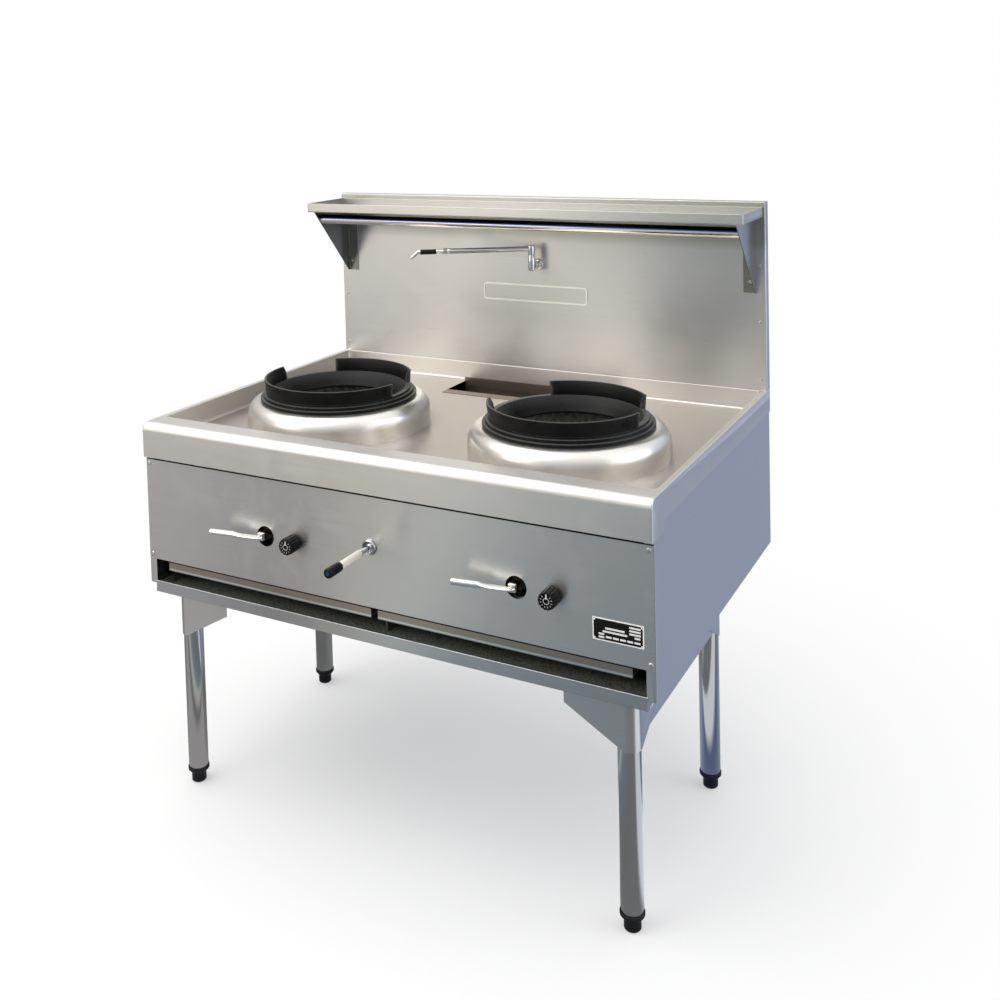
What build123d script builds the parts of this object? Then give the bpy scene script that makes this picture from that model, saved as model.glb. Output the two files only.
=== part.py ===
from build123d import *
import os
from math import cos, radians, sin

os.makedirs("parts", exist_ok=True)

# A two-burner wok range. Millimetres, +Z up, the front faces -Y, and the origin is on the
# floor in the middle of the range, the water lever's reach included.

# Overall sizes
overall_width = 1200
overall_height = 1295
body_depth = 850            # front of the deck's roll to the back of the splashback
rim_height = 845            # top of the deck's raised rim
cabinet_bottom = 475        # lower edge of the side panels
control_reach = 149         # water lever's tip in front of the front panel
panel_setback = 8           # front panel behind the deck's front face

# Sheet and clearances
deck_sheet = 1.5
skin_sheet = 1.2
return_width = 15           # inward flange of a cabinet sheet
bend_radius = 3
run_gap = 0.3               # round a shaft or ball that turns
weld_gap = 0.2              # between a leg and the sheet welded round it
cut_over = 5                # how far a cutting shape stands past what it cuts

half_width = overall_width / 2
front_y = -(body_depth - (control_reach - panel_setback)) / 2
back_y = front_y + body_depth
panel_y = front_y + panel_setback
panel_back = panel_y + deck_sheet


def block(x, y, z, mode=Mode.ADD):
    # a box in the open part, from one place to another on each axis
    with Locations(((x[0] + x[1]) / 2, (y[0] + y[1]) / 2, (z[0] + z[1]) / 2)):
        Box(abs(x[1] - x[0]), abs(y[1] - y[0]), abs(z[1] - z[0]), mode=mode)


def post(x, y, z, radius, mode=Mode.ADD):
    # an upright cylinder in the open part
    with Locations((x, y, (z[0] + z[1]) / 2)):
        Cylinder(radius, z[1] - z[0], mode=mode)


def spigot(x, y, z, radius, mode=Mode.ADD):
    # a cylinder along Y in the open part
    with Locations((x, (y[0] + y[1]) / 2, z)):
        Cylinder(radius, y[1] - y[0], rotation=(90, 0, 0), mode=mode)


def facing(y):
    # the upright plane at y that looks forward, X to the right and Z up
    return Plane.XZ.offset(-y)


def turned(x, y, angle):
    # the upright half plane through a vertical axis, at an angle from +X
    outward = (cos(radians(angle)), sin(radians(angle)), 0)
    return Plane(origin=(x, y, 0), x_dir=outward, z_dir=(outward[1], -outward[0], 0))


def pipe_run(points, bend, radius, wall):
    # a round pipe along straight runs joined by bends
    with BuildPart() as pipe:
        with BuildLine() as route:
            FilletPolyline(*points, radius=bend)
        with BuildSketch(Plane(origin=route.line @ 0, z_dir=route.line % 0)):
            Circle(radius)
            Circle(radius - wall, mode=Mode.SUBTRACT)
        sweep()
    return pipe.part


# Deck: one folded sheet with a rolled front, raised side rims and a sunken cooking top
deck_recess = 50
front_rim = 62
side_rim = 13
front_face_height = 78
skirt_height = 55
front_return = 12
roll_radius = 18
recess_corner = 10
cove_radius = 6
fold_radius = 2.5           # outside of the rims' folds
splash_depth = 25
burner_inset = 304          # burner's axis from the range's side
burner_y = -10.5
chamber_radius = 165
chamber_hole_gap = 5
drain_width = 410
drain_depth = 104
drain_setback = 17          # drain's back edge in front of the splashback

splash_y = back_y - splash_depth
deck_top = rim_height - deck_recess
front_face_bottom = rim_height - front_face_height
skirt_bottom = rim_height - skirt_height
recess_front = front_y + front_rim
recess_middle = (recess_front + splash_y) / 2
drain_y = splash_y - drain_setback - drain_depth / 2
burner_x = half_width - burner_inset
sides = {"left": -1, "right": 1}


def sunken_pan(grow, height):
    # the space of the sunken top, or with grow the metal round it
    with BuildPart() as pan:
        with BuildSketch(Plane.XY.offset(deck_top - grow)):
            with Locations((0, recess_middle)):
                RectangleRounded(
                    overall_width - 2 * side_rim + 2 * grow,
                    splash_y - recess_front + 2 * grow,
                    recess_corner + grow,
                )
        extrude(amount=height + grow)
        fillet(pan.faces().sort_by(Axis.Z)[0].edges(), cove_radius + grow)
    return pan.part


pan_metal = sunken_pan(deck_sheet, deck_recess)
pan_space = sunken_pan(0, deck_recess + cut_over)

riser_x = 60
riser_radius = 6
riser_setback = 9
riser_y = splash_y + riser_setback
riser_hole = riser_radius + 2

with BuildPart() as deck:
    with BuildSketch(Plane.YZ):
        with BuildLine():
            Polyline(
                (front_y, front_face_bottom),
                (front_y, rim_height),
                (back_y, rim_height),
                (back_y, skirt_bottom),
                (recess_front, skirt_bottom),
                (recess_front, front_face_bottom),
                close=True,
            )
        skin = make_face()
        fillet(skin.vertices().sort_by_distance((front_y, rim_height))[0], roll_radius)
    extrude(amount=half_width, both=True)
    with BuildSketch(Plane.YZ):
        with BuildLine():
            Polyline(
                (front_y + deck_sheet, front_face_bottom + deck_sheet),
                (front_y + deck_sheet, rim_height - deck_sheet),
                (back_y - deck_sheet, rim_height - deck_sheet),
                (back_y - deck_sheet, front_face_bottom - cut_over),
                (front_y + front_return, front_face_bottom - cut_over),
                (front_y + front_return, front_face_bottom + deck_sheet),
                close=True,
            )
        hollow = make_face()
        inner_corner = (front_y + deck_sheet, rim_height - deck_sheet)
        fillet(hollow.vertices().sort_by_distance(inner_corner)[0], roll_radius - deck_sheet)
    extrude(amount=half_width - deck_sheet, both=True, mode=Mode.SUBTRACT)
    add(pan_metal)
    add(pan_space, mode=Mode.SUBTRACT)
    for side in sides.values():
        post(side * burner_x, burner_y, (deck_top - cut_over, deck_top + cut_over),
             chamber_radius + chamber_hole_gap, Mode.SUBTRACT)
    rim_edges = deck.edges().filter_by_position(Axis.Z, rim_height, rim_height)
    fillet(rim_edges.filter_by(lambda edge: edge.center().Y < back_y - 1), fold_radius)
    drain_half = drain_width / 2
    block((-drain_half, drain_half), (drain_y - drain_depth / 2, drain_y + drain_depth / 2),
          (deck_top - cut_over, deck_top + cut_over), Mode.SUBTRACT)
    post(riser_x, riser_y, (rim_height - cut_over, rim_height + cut_over), riser_hole,
         Mode.SUBTRACT)
deck.part.label = "deck"
export_step(deck.part, "parts/deck.step")

# Splashback: a shallow pan on the deck's back rim, closed by a cover sheet
screw_shank = 2
screw_hole = 2.3
screw_head = 3.5
screw_head_height = 2
screw_length = 10
screw_inset = 14
screw_shares = (0.056, 0.364, 0.662)    # of the splashback's height
bead_width = 296
bead_height = 46
bead_share = 0.438                  # bead's middle, of the splashback's height
bead_rise = 1.2
bead_band = 4
bead_corner = 9.2
tap_x = 12
tap_drop = 175                      # tap's neck below the splashback's top
tail_radius = 10
bolt_radius = 3
bolt_inset = 35                     # bracket's bolt from the range's side
bolt_drop = 190                     # and below the splashback's top

splash_height = overall_height - rim_height
bead_z = rim_height + bead_share * splash_height
tap_height = overall_height - tap_drop
bolt_x = half_width - bolt_inset
bolt_height = overall_height - bolt_drop
splash_bolts = [(side * bolt_x, bolt_height) for side in sides.values()]
splash_screw_places = [
    (side * (half_width - screw_inset), rim_height + share * splash_height)
    for side in sides.values()
    for share in screw_shares
]

with BuildPart() as splash_skin:
    block((-half_width, half_width), (splash_y, back_y - skin_sheet), (rim_height, overall_height))
    front_face = splash_skin.faces().sort_by(Axis.Y)[0]
    fillet(front_face.edges().sort_by(Axis.Z)[1:], bend_radius)
    offset(amount=-skin_sheet, openings=splash_skin.faces().sort_by(Axis.Y)[-1])
    with BuildSketch(facing(splash_y)):
        with Locations((0, bead_z)):
            RectangleRounded(bead_width, bead_height, bead_corner)
            RectangleRounded(bead_width - 2 * bead_band, bead_height - 2 * bead_band,
                             bead_corner - bead_band, mode=Mode.SUBTRACT)
    extrude(amount=bead_rise)
    with BuildSketch(facing(splash_y)):
        with Locations(*splash_screw_places):
            Circle(screw_hole)
        with Locations(*splash_bolts):
            Circle(bolt_radius + run_gap)
        with Locations((tap_x, tap_height)):
            Circle(tail_radius + run_gap)
    extrude(amount=cut_over, both=True, mode=Mode.SUBTRACT)
    post(riser_x, riser_y, (rim_height - cut_over, rim_height + cut_over), riser_hole,
         Mode.SUBTRACT)
splash_skin.part.label = "splash_skin"
export_step(splash_skin.part, "parts/splash_skin.step")

with BuildPart() as splash_back_cover:
    block((-half_width, half_width), (back_y - skin_sheet, back_y), (rim_height, overall_height))
splash_back_cover.part.label = "splash_back_cover"
export_step(splash_back_cover.part, "parts/splash_back_cover.step")

with BuildPart() as splash_screws:
    with BuildSketch(facing(splash_y)):
        with Locations(*splash_screw_places):
            Circle(screw_head)
    extrude(amount=screw_head_height)
    fillet(splash_screws.faces().group_by(Axis.Y)[0].edges(), screw_head_height / 2)
    with BuildSketch(facing(splash_y)):
        with Locations(*splash_screw_places):
            Circle(screw_shank)
    extrude(amount=-screw_length)
splash_screws.part.label = "splash_screws"
export_step(splash_screws.part, "parts/splash_screws.step")

# Plate shelf: an open tray on two brackets, with a hanging rail under its front
shelf_drop = 37             # shelf's floor below the top of the splashback
shelf_lip = 24
shelf_depth = 174
shelf_inset = 6
bracket_sheet = 2
bracket_inset = 23          # bracket's outer face from the range's side
bracket_front_gap = 6       # bracket's nose behind the shelf's front
bracket_drop = 180
bracket_toe = 8
wall_flange = 30
top_flange = 22
rail_radius = 12.7
rail_wall = 1.5
rail_offset = 130           # rail's axis in front of the splashback
rail_drop = 22              # rail's axis below the shelf's floor

shelf_floor = overall_height - shelf_drop
shelf_front = splash_y - shelf_depth
shelf_half = half_width - shelf_inset
rail_y = splash_y - rail_offset
rail_z = shelf_floor - rail_drop
bracket_x = half_width - bracket_inset
bracket_nose = shelf_front + bracket_front_gap
bracket_bottom = shelf_floor - bracket_drop
toe_y = splash_y - bracket_toe

with BuildPart() as shelf:
    block((-shelf_half, shelf_half), (shelf_front, splash_y), (shelf_floor, shelf_floor + shelf_lip))
    fillet(shelf.faces().sort_by(Axis.Y)[0].edges().filter_by(Axis.Z), bend_radius)
    fillet(shelf.faces().sort_by(Axis.Z)[0].edges().sort_by(Axis.Y)[0], bend_radius)
    offset(amount=-skin_sheet, openings=shelf.faces().sort_by(Axis.Z)[-1])
shelf.part.label = "shelf"
export_step(shelf.part, "parts/shelf.step")

for name, side in sides.items():
    outer = side * bracket_x
    inner = side * (bracket_x - bracket_sheet)
    with BuildPart() as bracket:
        with BuildSketch(Plane.YZ.offset(inner)):
            Polygon(
                (bracket_nose, shelf_floor),
                (toe_y, bracket_bottom),
                (splash_y, bracket_bottom),
                (splash_y, shelf_floor),
                align=None,
            )
        extrude(amount=side * bracket_sheet)
        block((inner, inner - side * (wall_flange - bracket_sheet)),
              (splash_y - bracket_sheet, splash_y), (bracket_bottom, shelf_floor))
        block((inner, inner - side * (top_flange - bracket_sheet)),
              (bracket_nose + bracket_sheet, splash_y), (shelf_floor - bracket_sheet, shelf_floor))
        spigot(side * bolt_x, (splash_y - cut_over, splash_y + cut_over), bolt_height,
               bolt_radius + run_gap, Mode.SUBTRACT)
    bracket.part.label = f"bracket_{name}"
    export_step(bracket.part, f"parts/bracket_{name}.step")

bolt_head = 5
bolt_head_height = 4
with BuildPart() as bracket_bolts:
    with BuildSketch(facing(splash_y - bracket_sheet)):
        with Locations(*splash_bolts):
            RegularPolygon(bolt_head, 6)
    extrude(amount=bolt_head_height)
    with BuildSketch(facing(splash_y - bracket_sheet)):
        with Locations(*splash_bolts):
            Circle(bolt_radius)
    extrude(amount=-screw_length)
bracket_bolts.part.label = "bracket_bolts"
export_step(bracket_bolts.part, "parts/bracket_bolts.step")

rail_half = bracket_x - bracket_sheet
with BuildPart() as rail_tube:
    with BuildSketch(Plane.YZ.offset(-rail_half)):
        with Locations((rail_y, rail_z)):
            Circle(rail_radius)
            Circle(rail_radius - rail_wall, mode=Mode.SUBTRACT)
    extrude(amount=2 * rail_half)
rail_tube.part.label = "rail_tube"
export_step(rail_tube.part, "parts/rail_tube.step")

# Swing tap: a barrel on the splashback carries a spout with a hand grip
escutcheon_radius = 15
escutcheon_height = 4
neck_radius = 7
barrel_radius = 9
barrel_offset = 40
barrel_below = 12           # barrel's lower end below its neck
barrel_edge = 2
swivel_rise = 30            # foot of the turning head above the neck
head_height = 26
spout_drop = 10             # spout's axis below the head's top
spout_radius = 6.8
spout_bore = 4
spout_angle = 32            # spout's swing from the splashback, at rest
spigot_radius = 6
spigot_length = 15
spigot_end_gap = 1
union_at = 216
union_radius = 9
union_length = 12
tip_radius = 5
grip_at = 245
grip_length = 47
grip_radius = 6.5
nozzle_radius = 4.2
nozzle_wall = 1.2
nozzle_length = 24
nozzle_angle = 40

barrel_y = splash_y - barrel_offset
swivel_z = tap_height + swivel_rise
spout_z = swivel_z + head_height - spout_drop
spout_dir = Vector(-cos(radians(spout_angle)), -sin(radians(spout_angle)), 0)


def along_spout(distance):
    # the plane across the spout at a distance from its pivot
    origin = Vector(tap_x, barrel_y, spout_z) + spout_dir * distance
    return Plane(origin=origin, z_dir=spout_dir)


with BuildPart() as tap_body:
    spigot(tap_x, (splash_y, splash_y + splash_depth - skin_sheet - cut_over), tap_height,
           tail_radius)
    spigot(tap_x, (splash_y - escutcheon_height, splash_y), tap_height, escutcheon_radius)
    fillet(tap_body.faces().sort_by(Axis.Y)[0].edges(), escutcheon_height / 2)
    spigot(tap_x, (barrel_y, splash_y), tap_height, neck_radius)
    post(tap_x, barrel_y, (tap_height - barrel_below, swivel_z), barrel_radius)
    fillet(tap_body.faces().sort_by(Axis.Z)[0].edges(), barrel_edge)
    post(tap_x, barrel_y, (swivel_z - spigot_length - spigot_end_gap, swivel_z + cut_over),
         spigot_radius + run_gap, Mode.SUBTRACT)
tap_body.part.label = "tap_body"
export_step(tap_body.part, "parts/tap_body.step")

with BuildPart() as tap_spout:
    post(tap_x, barrel_y, (swivel_z + run_gap, swivel_z + head_height), barrel_radius)
    fillet(tap_spout.faces().sort_by(Axis.Z)[-1].edges(), barrel_edge)
    post(tap_x, barrel_y, (swivel_z - spigot_length, swivel_z + run_gap), spigot_radius)
    with BuildSketch(along_spout(0)):
        Circle(spout_radius)
    extrude(amount=union_at)
    with BuildSketch(along_spout(union_at)):
        RegularPolygon(union_radius, 6)
    extrude(amount=union_length)
    with BuildSketch(along_spout(union_at + union_length)):
        Circle(tip_radius)
    extrude(amount=grip_at + grip_length - union_at - union_length)
    elbow = along_spout(grip_at + grip_length)
    with Locations(elbow.origin):
        Sphere(tip_radius)
    down = spout_dir * cos(radians(nozzle_angle)) - Vector(0, 0, sin(radians(nozzle_angle)))
    with BuildSketch(Plane(origin=elbow.origin, z_dir=down)):
        Circle(nozzle_radius)
    extrude(amount=nozzle_length)
    with BuildSketch(Plane(origin=elbow.origin, z_dir=down)):
        Circle(nozzle_radius - nozzle_wall)
    extrude(amount=nozzle_length + cut_over, mode=Mode.SUBTRACT)
    with BuildSketch(along_spout(barrel_radius / 2)):
        Circle(spout_bore)
    extrude(amount=grip_at + grip_length - barrel_radius / 2, mode=Mode.SUBTRACT)
tap_spout.part.label = "tap_spout"
export_step(tap_spout.part, "parts/tap_spout.step")

grip_clear = 0.1
grip_back = 6               # grip's outer end behind the elbow
with BuildPart() as tap_grip:
    with BuildSketch(along_spout(grip_at)):
        Circle(grip_radius)
        Circle(tip_radius + grip_clear, mode=Mode.SUBTRACT)
    extrude(amount=grip_length - grip_back)
tap_grip.part.label = "tap_grip"
export_step(tap_grip.part, "parts/tap_grip.step")

# Cabinet: side panels, back panel, front panel and the tray that closes the bottom
cabinet_setback = 8         # back panel in front of the splashback's back
post_flange = 19            # side panel's flange beside the front panel
panel_drop = 5              # front panel below the deck's front face
panel_height = 231
panel_inset = 1.4
panel_screw_edge = 8.6
panel_screw_ends = 11
panel_screw_head = 5
panel_edge = 1.2            # outside of the front panel's folds
post_edge = 1
return_end_gap = 2          # front panel's returns clear of the side panels' flanges
tray_inset = 17
tray_depth = 20
tray_front_rise = 6
tray_hem = 10
tray_edge = 2
hem_edge = 1
hem_end_gap = 1
tray_rim_gap = 2            # tray's rim in from the side panels' faces
waste_radius = 25

cabinet_back = back_y - cabinet_setback
panel_top = front_face_bottom - panel_drop
panel_bottom = panel_top - panel_height
panel_half = half_width - panel_inset
side_back = cabinet_back - skin_sheet
floor_z = cabinet_bottom - tray_depth
tray_half = half_width - tray_inset
panel_screw_places = [
    (side * (panel_half - panel_screw_edge), height)
    for side in sides.values()
    for height in (panel_bottom + panel_screw_ends, panel_top - panel_screw_ends)
]

for name, side in sides.items():
    outer = side * half_width
    face = side * (half_width - skin_sheet)
    flange = side * (half_width - return_width)
    with BuildPart() as side_panel:
        block((face, outer), (panel_back, side_back), (cabinet_bottom, skirt_bottom))
        block((side * (half_width - post_flange), outer), (panel_back, panel_back + skin_sheet),
              (cabinet_bottom, skirt_bottom))
        block((flange, outer), (side_back - skin_sheet, side_back), (cabinet_bottom, skirt_bottom))
        block((flange, outer), (panel_back, side_back),
              (cabinet_bottom, cabinet_bottom + skin_sheet))
        block((flange, outer), (recess_front, side_back), (skirt_bottom - skin_sheet, skirt_bottom))
        block((outer - side * 2 * return_width, outer + side), (panel_y, recess_front),
              (front_face_bottom, skirt_bottom + cut_over), Mode.SUBTRACT)
        corner = (outer, panel_back, cabinet_bottom)
        fillet(side_panel.edges().filter_by(Axis.Z).sort_by_distance(corner)[0], post_edge)
        with BuildSketch(facing(panel_back)):
            with Locations(*panel_screw_places):
                Circle(screw_hole)
        extrude(amount=cut_over, both=True, mode=Mode.SUBTRACT)
    side_panel.part.label = f"side_panel_{name}"
    export_step(side_panel.part, f"parts/side_panel_{name}.step")

# Heights and places of the controls on the front panel
lever_offset = 31           # lever's spindle to the right of its burner's axis
knob_offset = 76            # pilot knob to the right of its lever
hole_z = 635
lever_lift = 5              # gas cock's axis above the middle of its hole
lever_hole = 22
knob_stem_hole = 5
water_z = 657
collar_radius = 16.5
collar_bore = 13
collar_neck = 14.5
collar_height = 7

lever_z = hole_z + lever_lift
lever_x = {name: side * burner_x + lever_offset for name, side in sides.items()}
knob_x = {name: x + knob_offset for name, x in lever_x.items()}
panel_return = half_width - post_flange - return_end_gap

with BuildPart() as front_panel:
    block((-panel_half, panel_half), (panel_y, panel_back), (panel_bottom, panel_top))
    block((-panel_return, panel_return), (panel_y, panel_y + return_width),
          (panel_bottom, panel_bottom + deck_sheet))
    block((-panel_return, panel_return), (panel_y, panel_y + return_width),
          (panel_top - deck_sheet, panel_top))
    front_face = front_panel.faces().sort_by(Axis.Y)[0]
    fillet(front_face.edges().filter_by(Axis.X), panel_edge)
    with BuildSketch(facing(panel_y)):
        with Locations(*[(x, hole_z) for x in lever_x.values()]):
            Circle(lever_hole)
        with Locations(*[(x, hole_z) for x in knob_x.values()]):
            Circle(knob_stem_hole)
        with Locations((0, water_z)):
            Circle(collar_neck + run_gap)
        with Locations(*panel_screw_places):
            Circle(screw_hole)
    extrude(amount=-cut_over, mode=Mode.SUBTRACT)
front_panel.part.label = "front_panel"
export_step(front_panel.part, "parts/front_panel.step")

with BuildPart() as panel_screws:
    with BuildSketch(facing(panel_y)):
        with Locations(*panel_screw_places):
            Circle(panel_screw_head)
    extrude(amount=screw_head_height)
    fillet(panel_screws.faces().group_by(Axis.Y)[0].edges(), screw_head_height / 2)
    with BuildSketch(facing(panel_y)):
        with Locations(*panel_screw_places):
            Circle(screw_shank)
    extrude(amount=-screw_length)
panel_screws.part.label = "panel_screws"
export_step(panel_screws.part, "parts/panel_screws.step")

plate_width = 98
plate_height = 42
plate_right = 20            # plate's edge from the front panel's edge
plate_bottom = 38           # above the front panel's lower edge
plate_thick = 0.8
rivet_inset = 4
rivet_radius = 1.5
rivet_height = 0.8
plate_corner = 1.5
plate_x = panel_half - plate_right - plate_width / 2
plate_z = panel_bottom + plate_bottom + plate_height / 2
with BuildPart() as data_plate:
    with BuildSketch(facing(panel_y)):
        with Locations((plate_x, plate_z)):
            RectangleRounded(plate_width, plate_height, plate_corner)
    extrude(amount=plate_thick)
    with BuildSketch(facing(panel_y - plate_thick)):
        with Locations((plate_x, plate_z)):
            with GridLocations(plate_width - 2 * rivet_inset, plate_height - 2 * rivet_inset, 2, 2):
                Circle(rivet_radius)
    extrude(amount=rivet_height)
data_plate.part.label = "data_plate"
export_step(data_plate.part, "parts/data_plate.step")

# Gas supply: manifold behind the front panel, cocks and pilot valves standing on it
manifold_radius = 13.5
manifold_wall = 3
manifold_setback = 45
manifold_z = 592
manifold_over = 65          # manifold's end past the left cock
inlet_inset = 85            # gas inlet from the range's side
manifold_bend = 40
inlet_gap = 2
water_in_x = -60
water_port = 9              # pipe's axis below, and beside, the water valve's axis
water_bend = 20
water_wall = 1
waste_gap = 4
vent_width = 100
vent_height = 6
vent_pitch = 50             # from one vent's end to the next one's start
vent_row_pitch = 18
vent_columns = 6
vent_rows = 3
vent_drop = 100             # vents' middle below the back panel's middle

inlet_x = half_width - inlet_inset
manifold_y = panel_y + manifold_setback
water_pipe_z = water_z - water_port

with BuildPart() as back_panel:
    block((-(half_width - skin_sheet), half_width - skin_sheet), (side_back, cabinet_back),
          (cabinet_bottom, skirt_bottom))
    spigot(inlet_x, (side_back - cut_over, cabinet_back + cut_over), manifold_z,
           manifold_radius + inlet_gap, Mode.SUBTRACT)
    spigot(water_in_x, (side_back - cut_over, cabinet_back + cut_over), water_pipe_z,
           riser_radius + inlet_gap, Mode.SUBTRACT)
    with BuildSketch(facing(cabinet_back)):
        with Locations((0, (cabinet_bottom + skirt_bottom) / 2 - vent_drop)):
            with GridLocations(vent_width + vent_pitch, vent_row_pitch, vent_columns, vent_rows):
                SlotOverall(vent_width, vent_height)
    extrude(amount=cut_over, both=True, mode=Mode.SUBTRACT)
back_panel.part.label = "back_panel"
export_step(back_panel.part, "parts/back_panel.step")

tray_back = side_back - return_width
tray_wall = tray_half - deck_sheet
with BuildPart() as bottom_tray:
    block((-tray_half, tray_half), (panel_y, tray_back), (floor_z, cabinet_bottom))
    fillet(bottom_tray.edges().group_by(Axis.Z)[0].sort_by(Axis.Y)[0], tray_edge)
    block((tray_rim_gap - half_width, half_width - tray_rim_gap),
          (panel_back + skin_sheet, cabinet_back),
          (cabinet_bottom - deck_sheet, cabinet_bottom))
    block((-tray_wall, tray_wall), (panel_back, tray_back - deck_sheet),
          (floor_z + deck_sheet, cabinet_bottom + cut_over), Mode.SUBTRACT)
    block((-tray_half, tray_half), (panel_y, panel_back),
          (cabinet_bottom, cabinet_bottom + tray_front_rise))
    hem_half = half_width - post_flange - hem_end_gap
    block((-hem_half, hem_half), (panel_y, panel_y + tray_hem),
          (cabinet_bottom + tray_front_rise - deck_sheet, cabinet_bottom + tray_front_rise))
    hem_line = (0, panel_y, cabinet_bottom + tray_front_rise)
    fillet(bottom_tray.edges().filter_by(Axis.X).sort_by_distance(hem_line)[0], hem_edge)
    post(0, drain_y, (floor_z - cut_over, floor_z + cut_over), waste_radius + waste_gap,
         Mode.SUBTRACT)
bottom_tray.part.label = "bottom_tray"
export_step(bottom_tray.part, "parts/bottom_tray.step")

# Legs with screw feet, side rails and corner gussets
leg_radius = 22.25
leg_wall = 1.5
leg_inset = 73.5            # leg's axis from the range's side
leg_front = 54              # front leg's axis behind the front panel
leg_spacing = 506.5         # front leg to back leg
foot_height = 36
foot_flange = 24
foot_flange_height = 8
foot_base = 16.5
foot_plug = 40
foot_edge = 3
frame_rail_height = 83
frame_rail_flange = 20
frame_sheet = 2
gusset_reach = 120
gusset_end = 37
gusset_height = 105

leg_x = half_width - leg_inset
leg_rows = {"front": panel_y + leg_front, "back": panel_y + leg_front + leg_spacing}
leg_places = {
    f"{row}_{name}": (side * leg_x, y)
    for row, y in leg_rows.items()
    for name, side in sides.items()
}

for place, (x, y) in leg_places.items():
    with BuildPart() as leg:
        with BuildSketch(Plane.XY.offset(foot_height + run_gap)):
            with Locations((x, y)):
                Circle(leg_radius)
                Circle(leg_radius - leg_wall, mode=Mode.SUBTRACT)
        extrude(amount=floor_z - foot_height - run_gap)
    leg.part.label = f"leg_{place}"
    export_step(leg.part, f"parts/leg_{place}.step")

    plug_radius = leg_radius - leg_wall - run_gap
    taper = foot_height - 2 * foot_flange_height
    with BuildPart() as foot:
        with BuildSketch(turned(x, y, 0)):
            with BuildLine():
                Polyline(
                    (0, 0),
                    (foot_base - foot_edge, 0),
                    (foot_base, foot_edge),
                    (foot_base, taper),
                    (foot_flange, foot_height - foot_flange_height),
                    (foot_flange, foot_height),
                    (plug_radius, foot_height),
                    (plug_radius, foot_height + foot_plug),
                    (0, foot_height + foot_plug),
                    close=True,
                )
            make_face()
        revolve(axis=Axis((x, y, 0), (0, 0, 1)))
    foot.part.label = f"foot_{place}"
    export_step(foot.part, f"parts/foot_{place}.step")

rail_face = leg_x + leg_radius
rail_ends = [leg_rows["front"] + leg_radius / 2, leg_rows["back"] - leg_radius / 2]
with BuildPart() as side_rails:
    for side in sides.values():
        outer = side * rail_face
        inner = side * (rail_face - frame_rail_flange)
        low = floor_z - frame_rail_height
        block((inner, outer), rail_ends, (low, floor_z))
        block((inner - side, outer - side * frame_sheet),
              (rail_ends[0] - 1, rail_ends[1] + 1),
              (low + frame_sheet, floor_z - frame_sheet), Mode.SUBTRACT)
        for y in leg_rows.values():
            post(side * leg_x, y, (low - cut_over, floor_z + cut_over), leg_radius + weld_gap,
                 Mode.SUBTRACT)
side_rails.part.label = "side_rails"
export_step(side_rails.part, "parts/side_rails.step")

wrap_inner = leg_radius + weld_gap
wrap_outer = wrap_inner + frame_sheet
gusset_low = floor_z - gusset_height
with BuildPart() as gussets:
    for row, y in leg_rows.items():
        ahead = -1 if row == "front" else 1
        for side in sides.values():
            x = side * leg_x
            with BuildSketch(facing(y + ahead * wrap_outer)):
                Polygon(
                    (x, gusset_low),
                    (x - side * gusset_reach, floor_z - gusset_end),
                    (x - side * gusset_reach, floor_z),
                    (x, floor_z),
                    align=None,
                )
            extrude(amount=ahead * frame_sheet)
            with BuildSketch(Plane.YZ.offset(x + side * wrap_outer)):
                Polygon(
                    (y, gusset_low),
                    (y - ahead * gusset_reach, floor_z - gusset_end),
                    (y - ahead * gusset_reach, floor_z),
                    (y, floor_z),
                    align=None,
                )
            extrude(amount=-side * frame_sheet)
            with BuildSketch(Plane.XY.offset(gusset_low)):
                with Locations((x, y)):
                    Circle(wrap_outer)
                    Circle(wrap_inner, mode=Mode.SUBTRACT)
                with Locations((x + side * wrap_outer / 2, y + ahead * wrap_outer / 2)):
                    Rectangle(wrap_outer, wrap_outer, mode=Mode.INTERSECT)
            extrude(amount=gusset_height)
gussets.part.label = "gussets"
export_step(gussets.part, "parts/gussets.step")

# Drip trays that slide out under the front panel, on runners that stand in the bottom tray
drip_gap = 16               # between the two trays
drip_side_gap = 48          # tray's outer wall from the range's side
drip_length = 640
drip_setback = 10           # tray's front lip behind the front panel's face
drip_rise = 30              # tray's underside above the side panels' lower edge
drip_lip = 24.5
drip_wall = 20
ledge_width = 50
runner_front = 45           # runner's end behind the trays' front lip
runner_back = 60            # and past the trays' back
runner_gap = 1              # runner beside the bottom tray's wall

drip_front = panel_y + drip_setback
drip_z = cabinet_bottom + drip_rise
drip_back = drip_front + drip_length
drip_inner = drip_gap / 2
drip_outer = half_width - drip_side_gap
for name, side in sides.items():
    with BuildPart() as drip_tray:
        block((side * drip_inner, side * drip_outer), (drip_front, drip_back),
              (drip_z, drip_z + drip_wall))
        block((side * (drip_inner + skin_sheet), side * (drip_outer - skin_sheet)),
              (drip_front + skin_sheet, drip_back - skin_sheet),
              (drip_z + skin_sheet, drip_z + drip_wall + cut_over), Mode.SUBTRACT)
        block((side * drip_inner, side * drip_outer), (drip_front, drip_front + skin_sheet),
              (drip_z, drip_z + drip_lip))
    drip_tray.part.label = f"drip_tray_{name}"
    export_step(drip_tray.part, f"parts/drip_tray_{name}.step")

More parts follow.
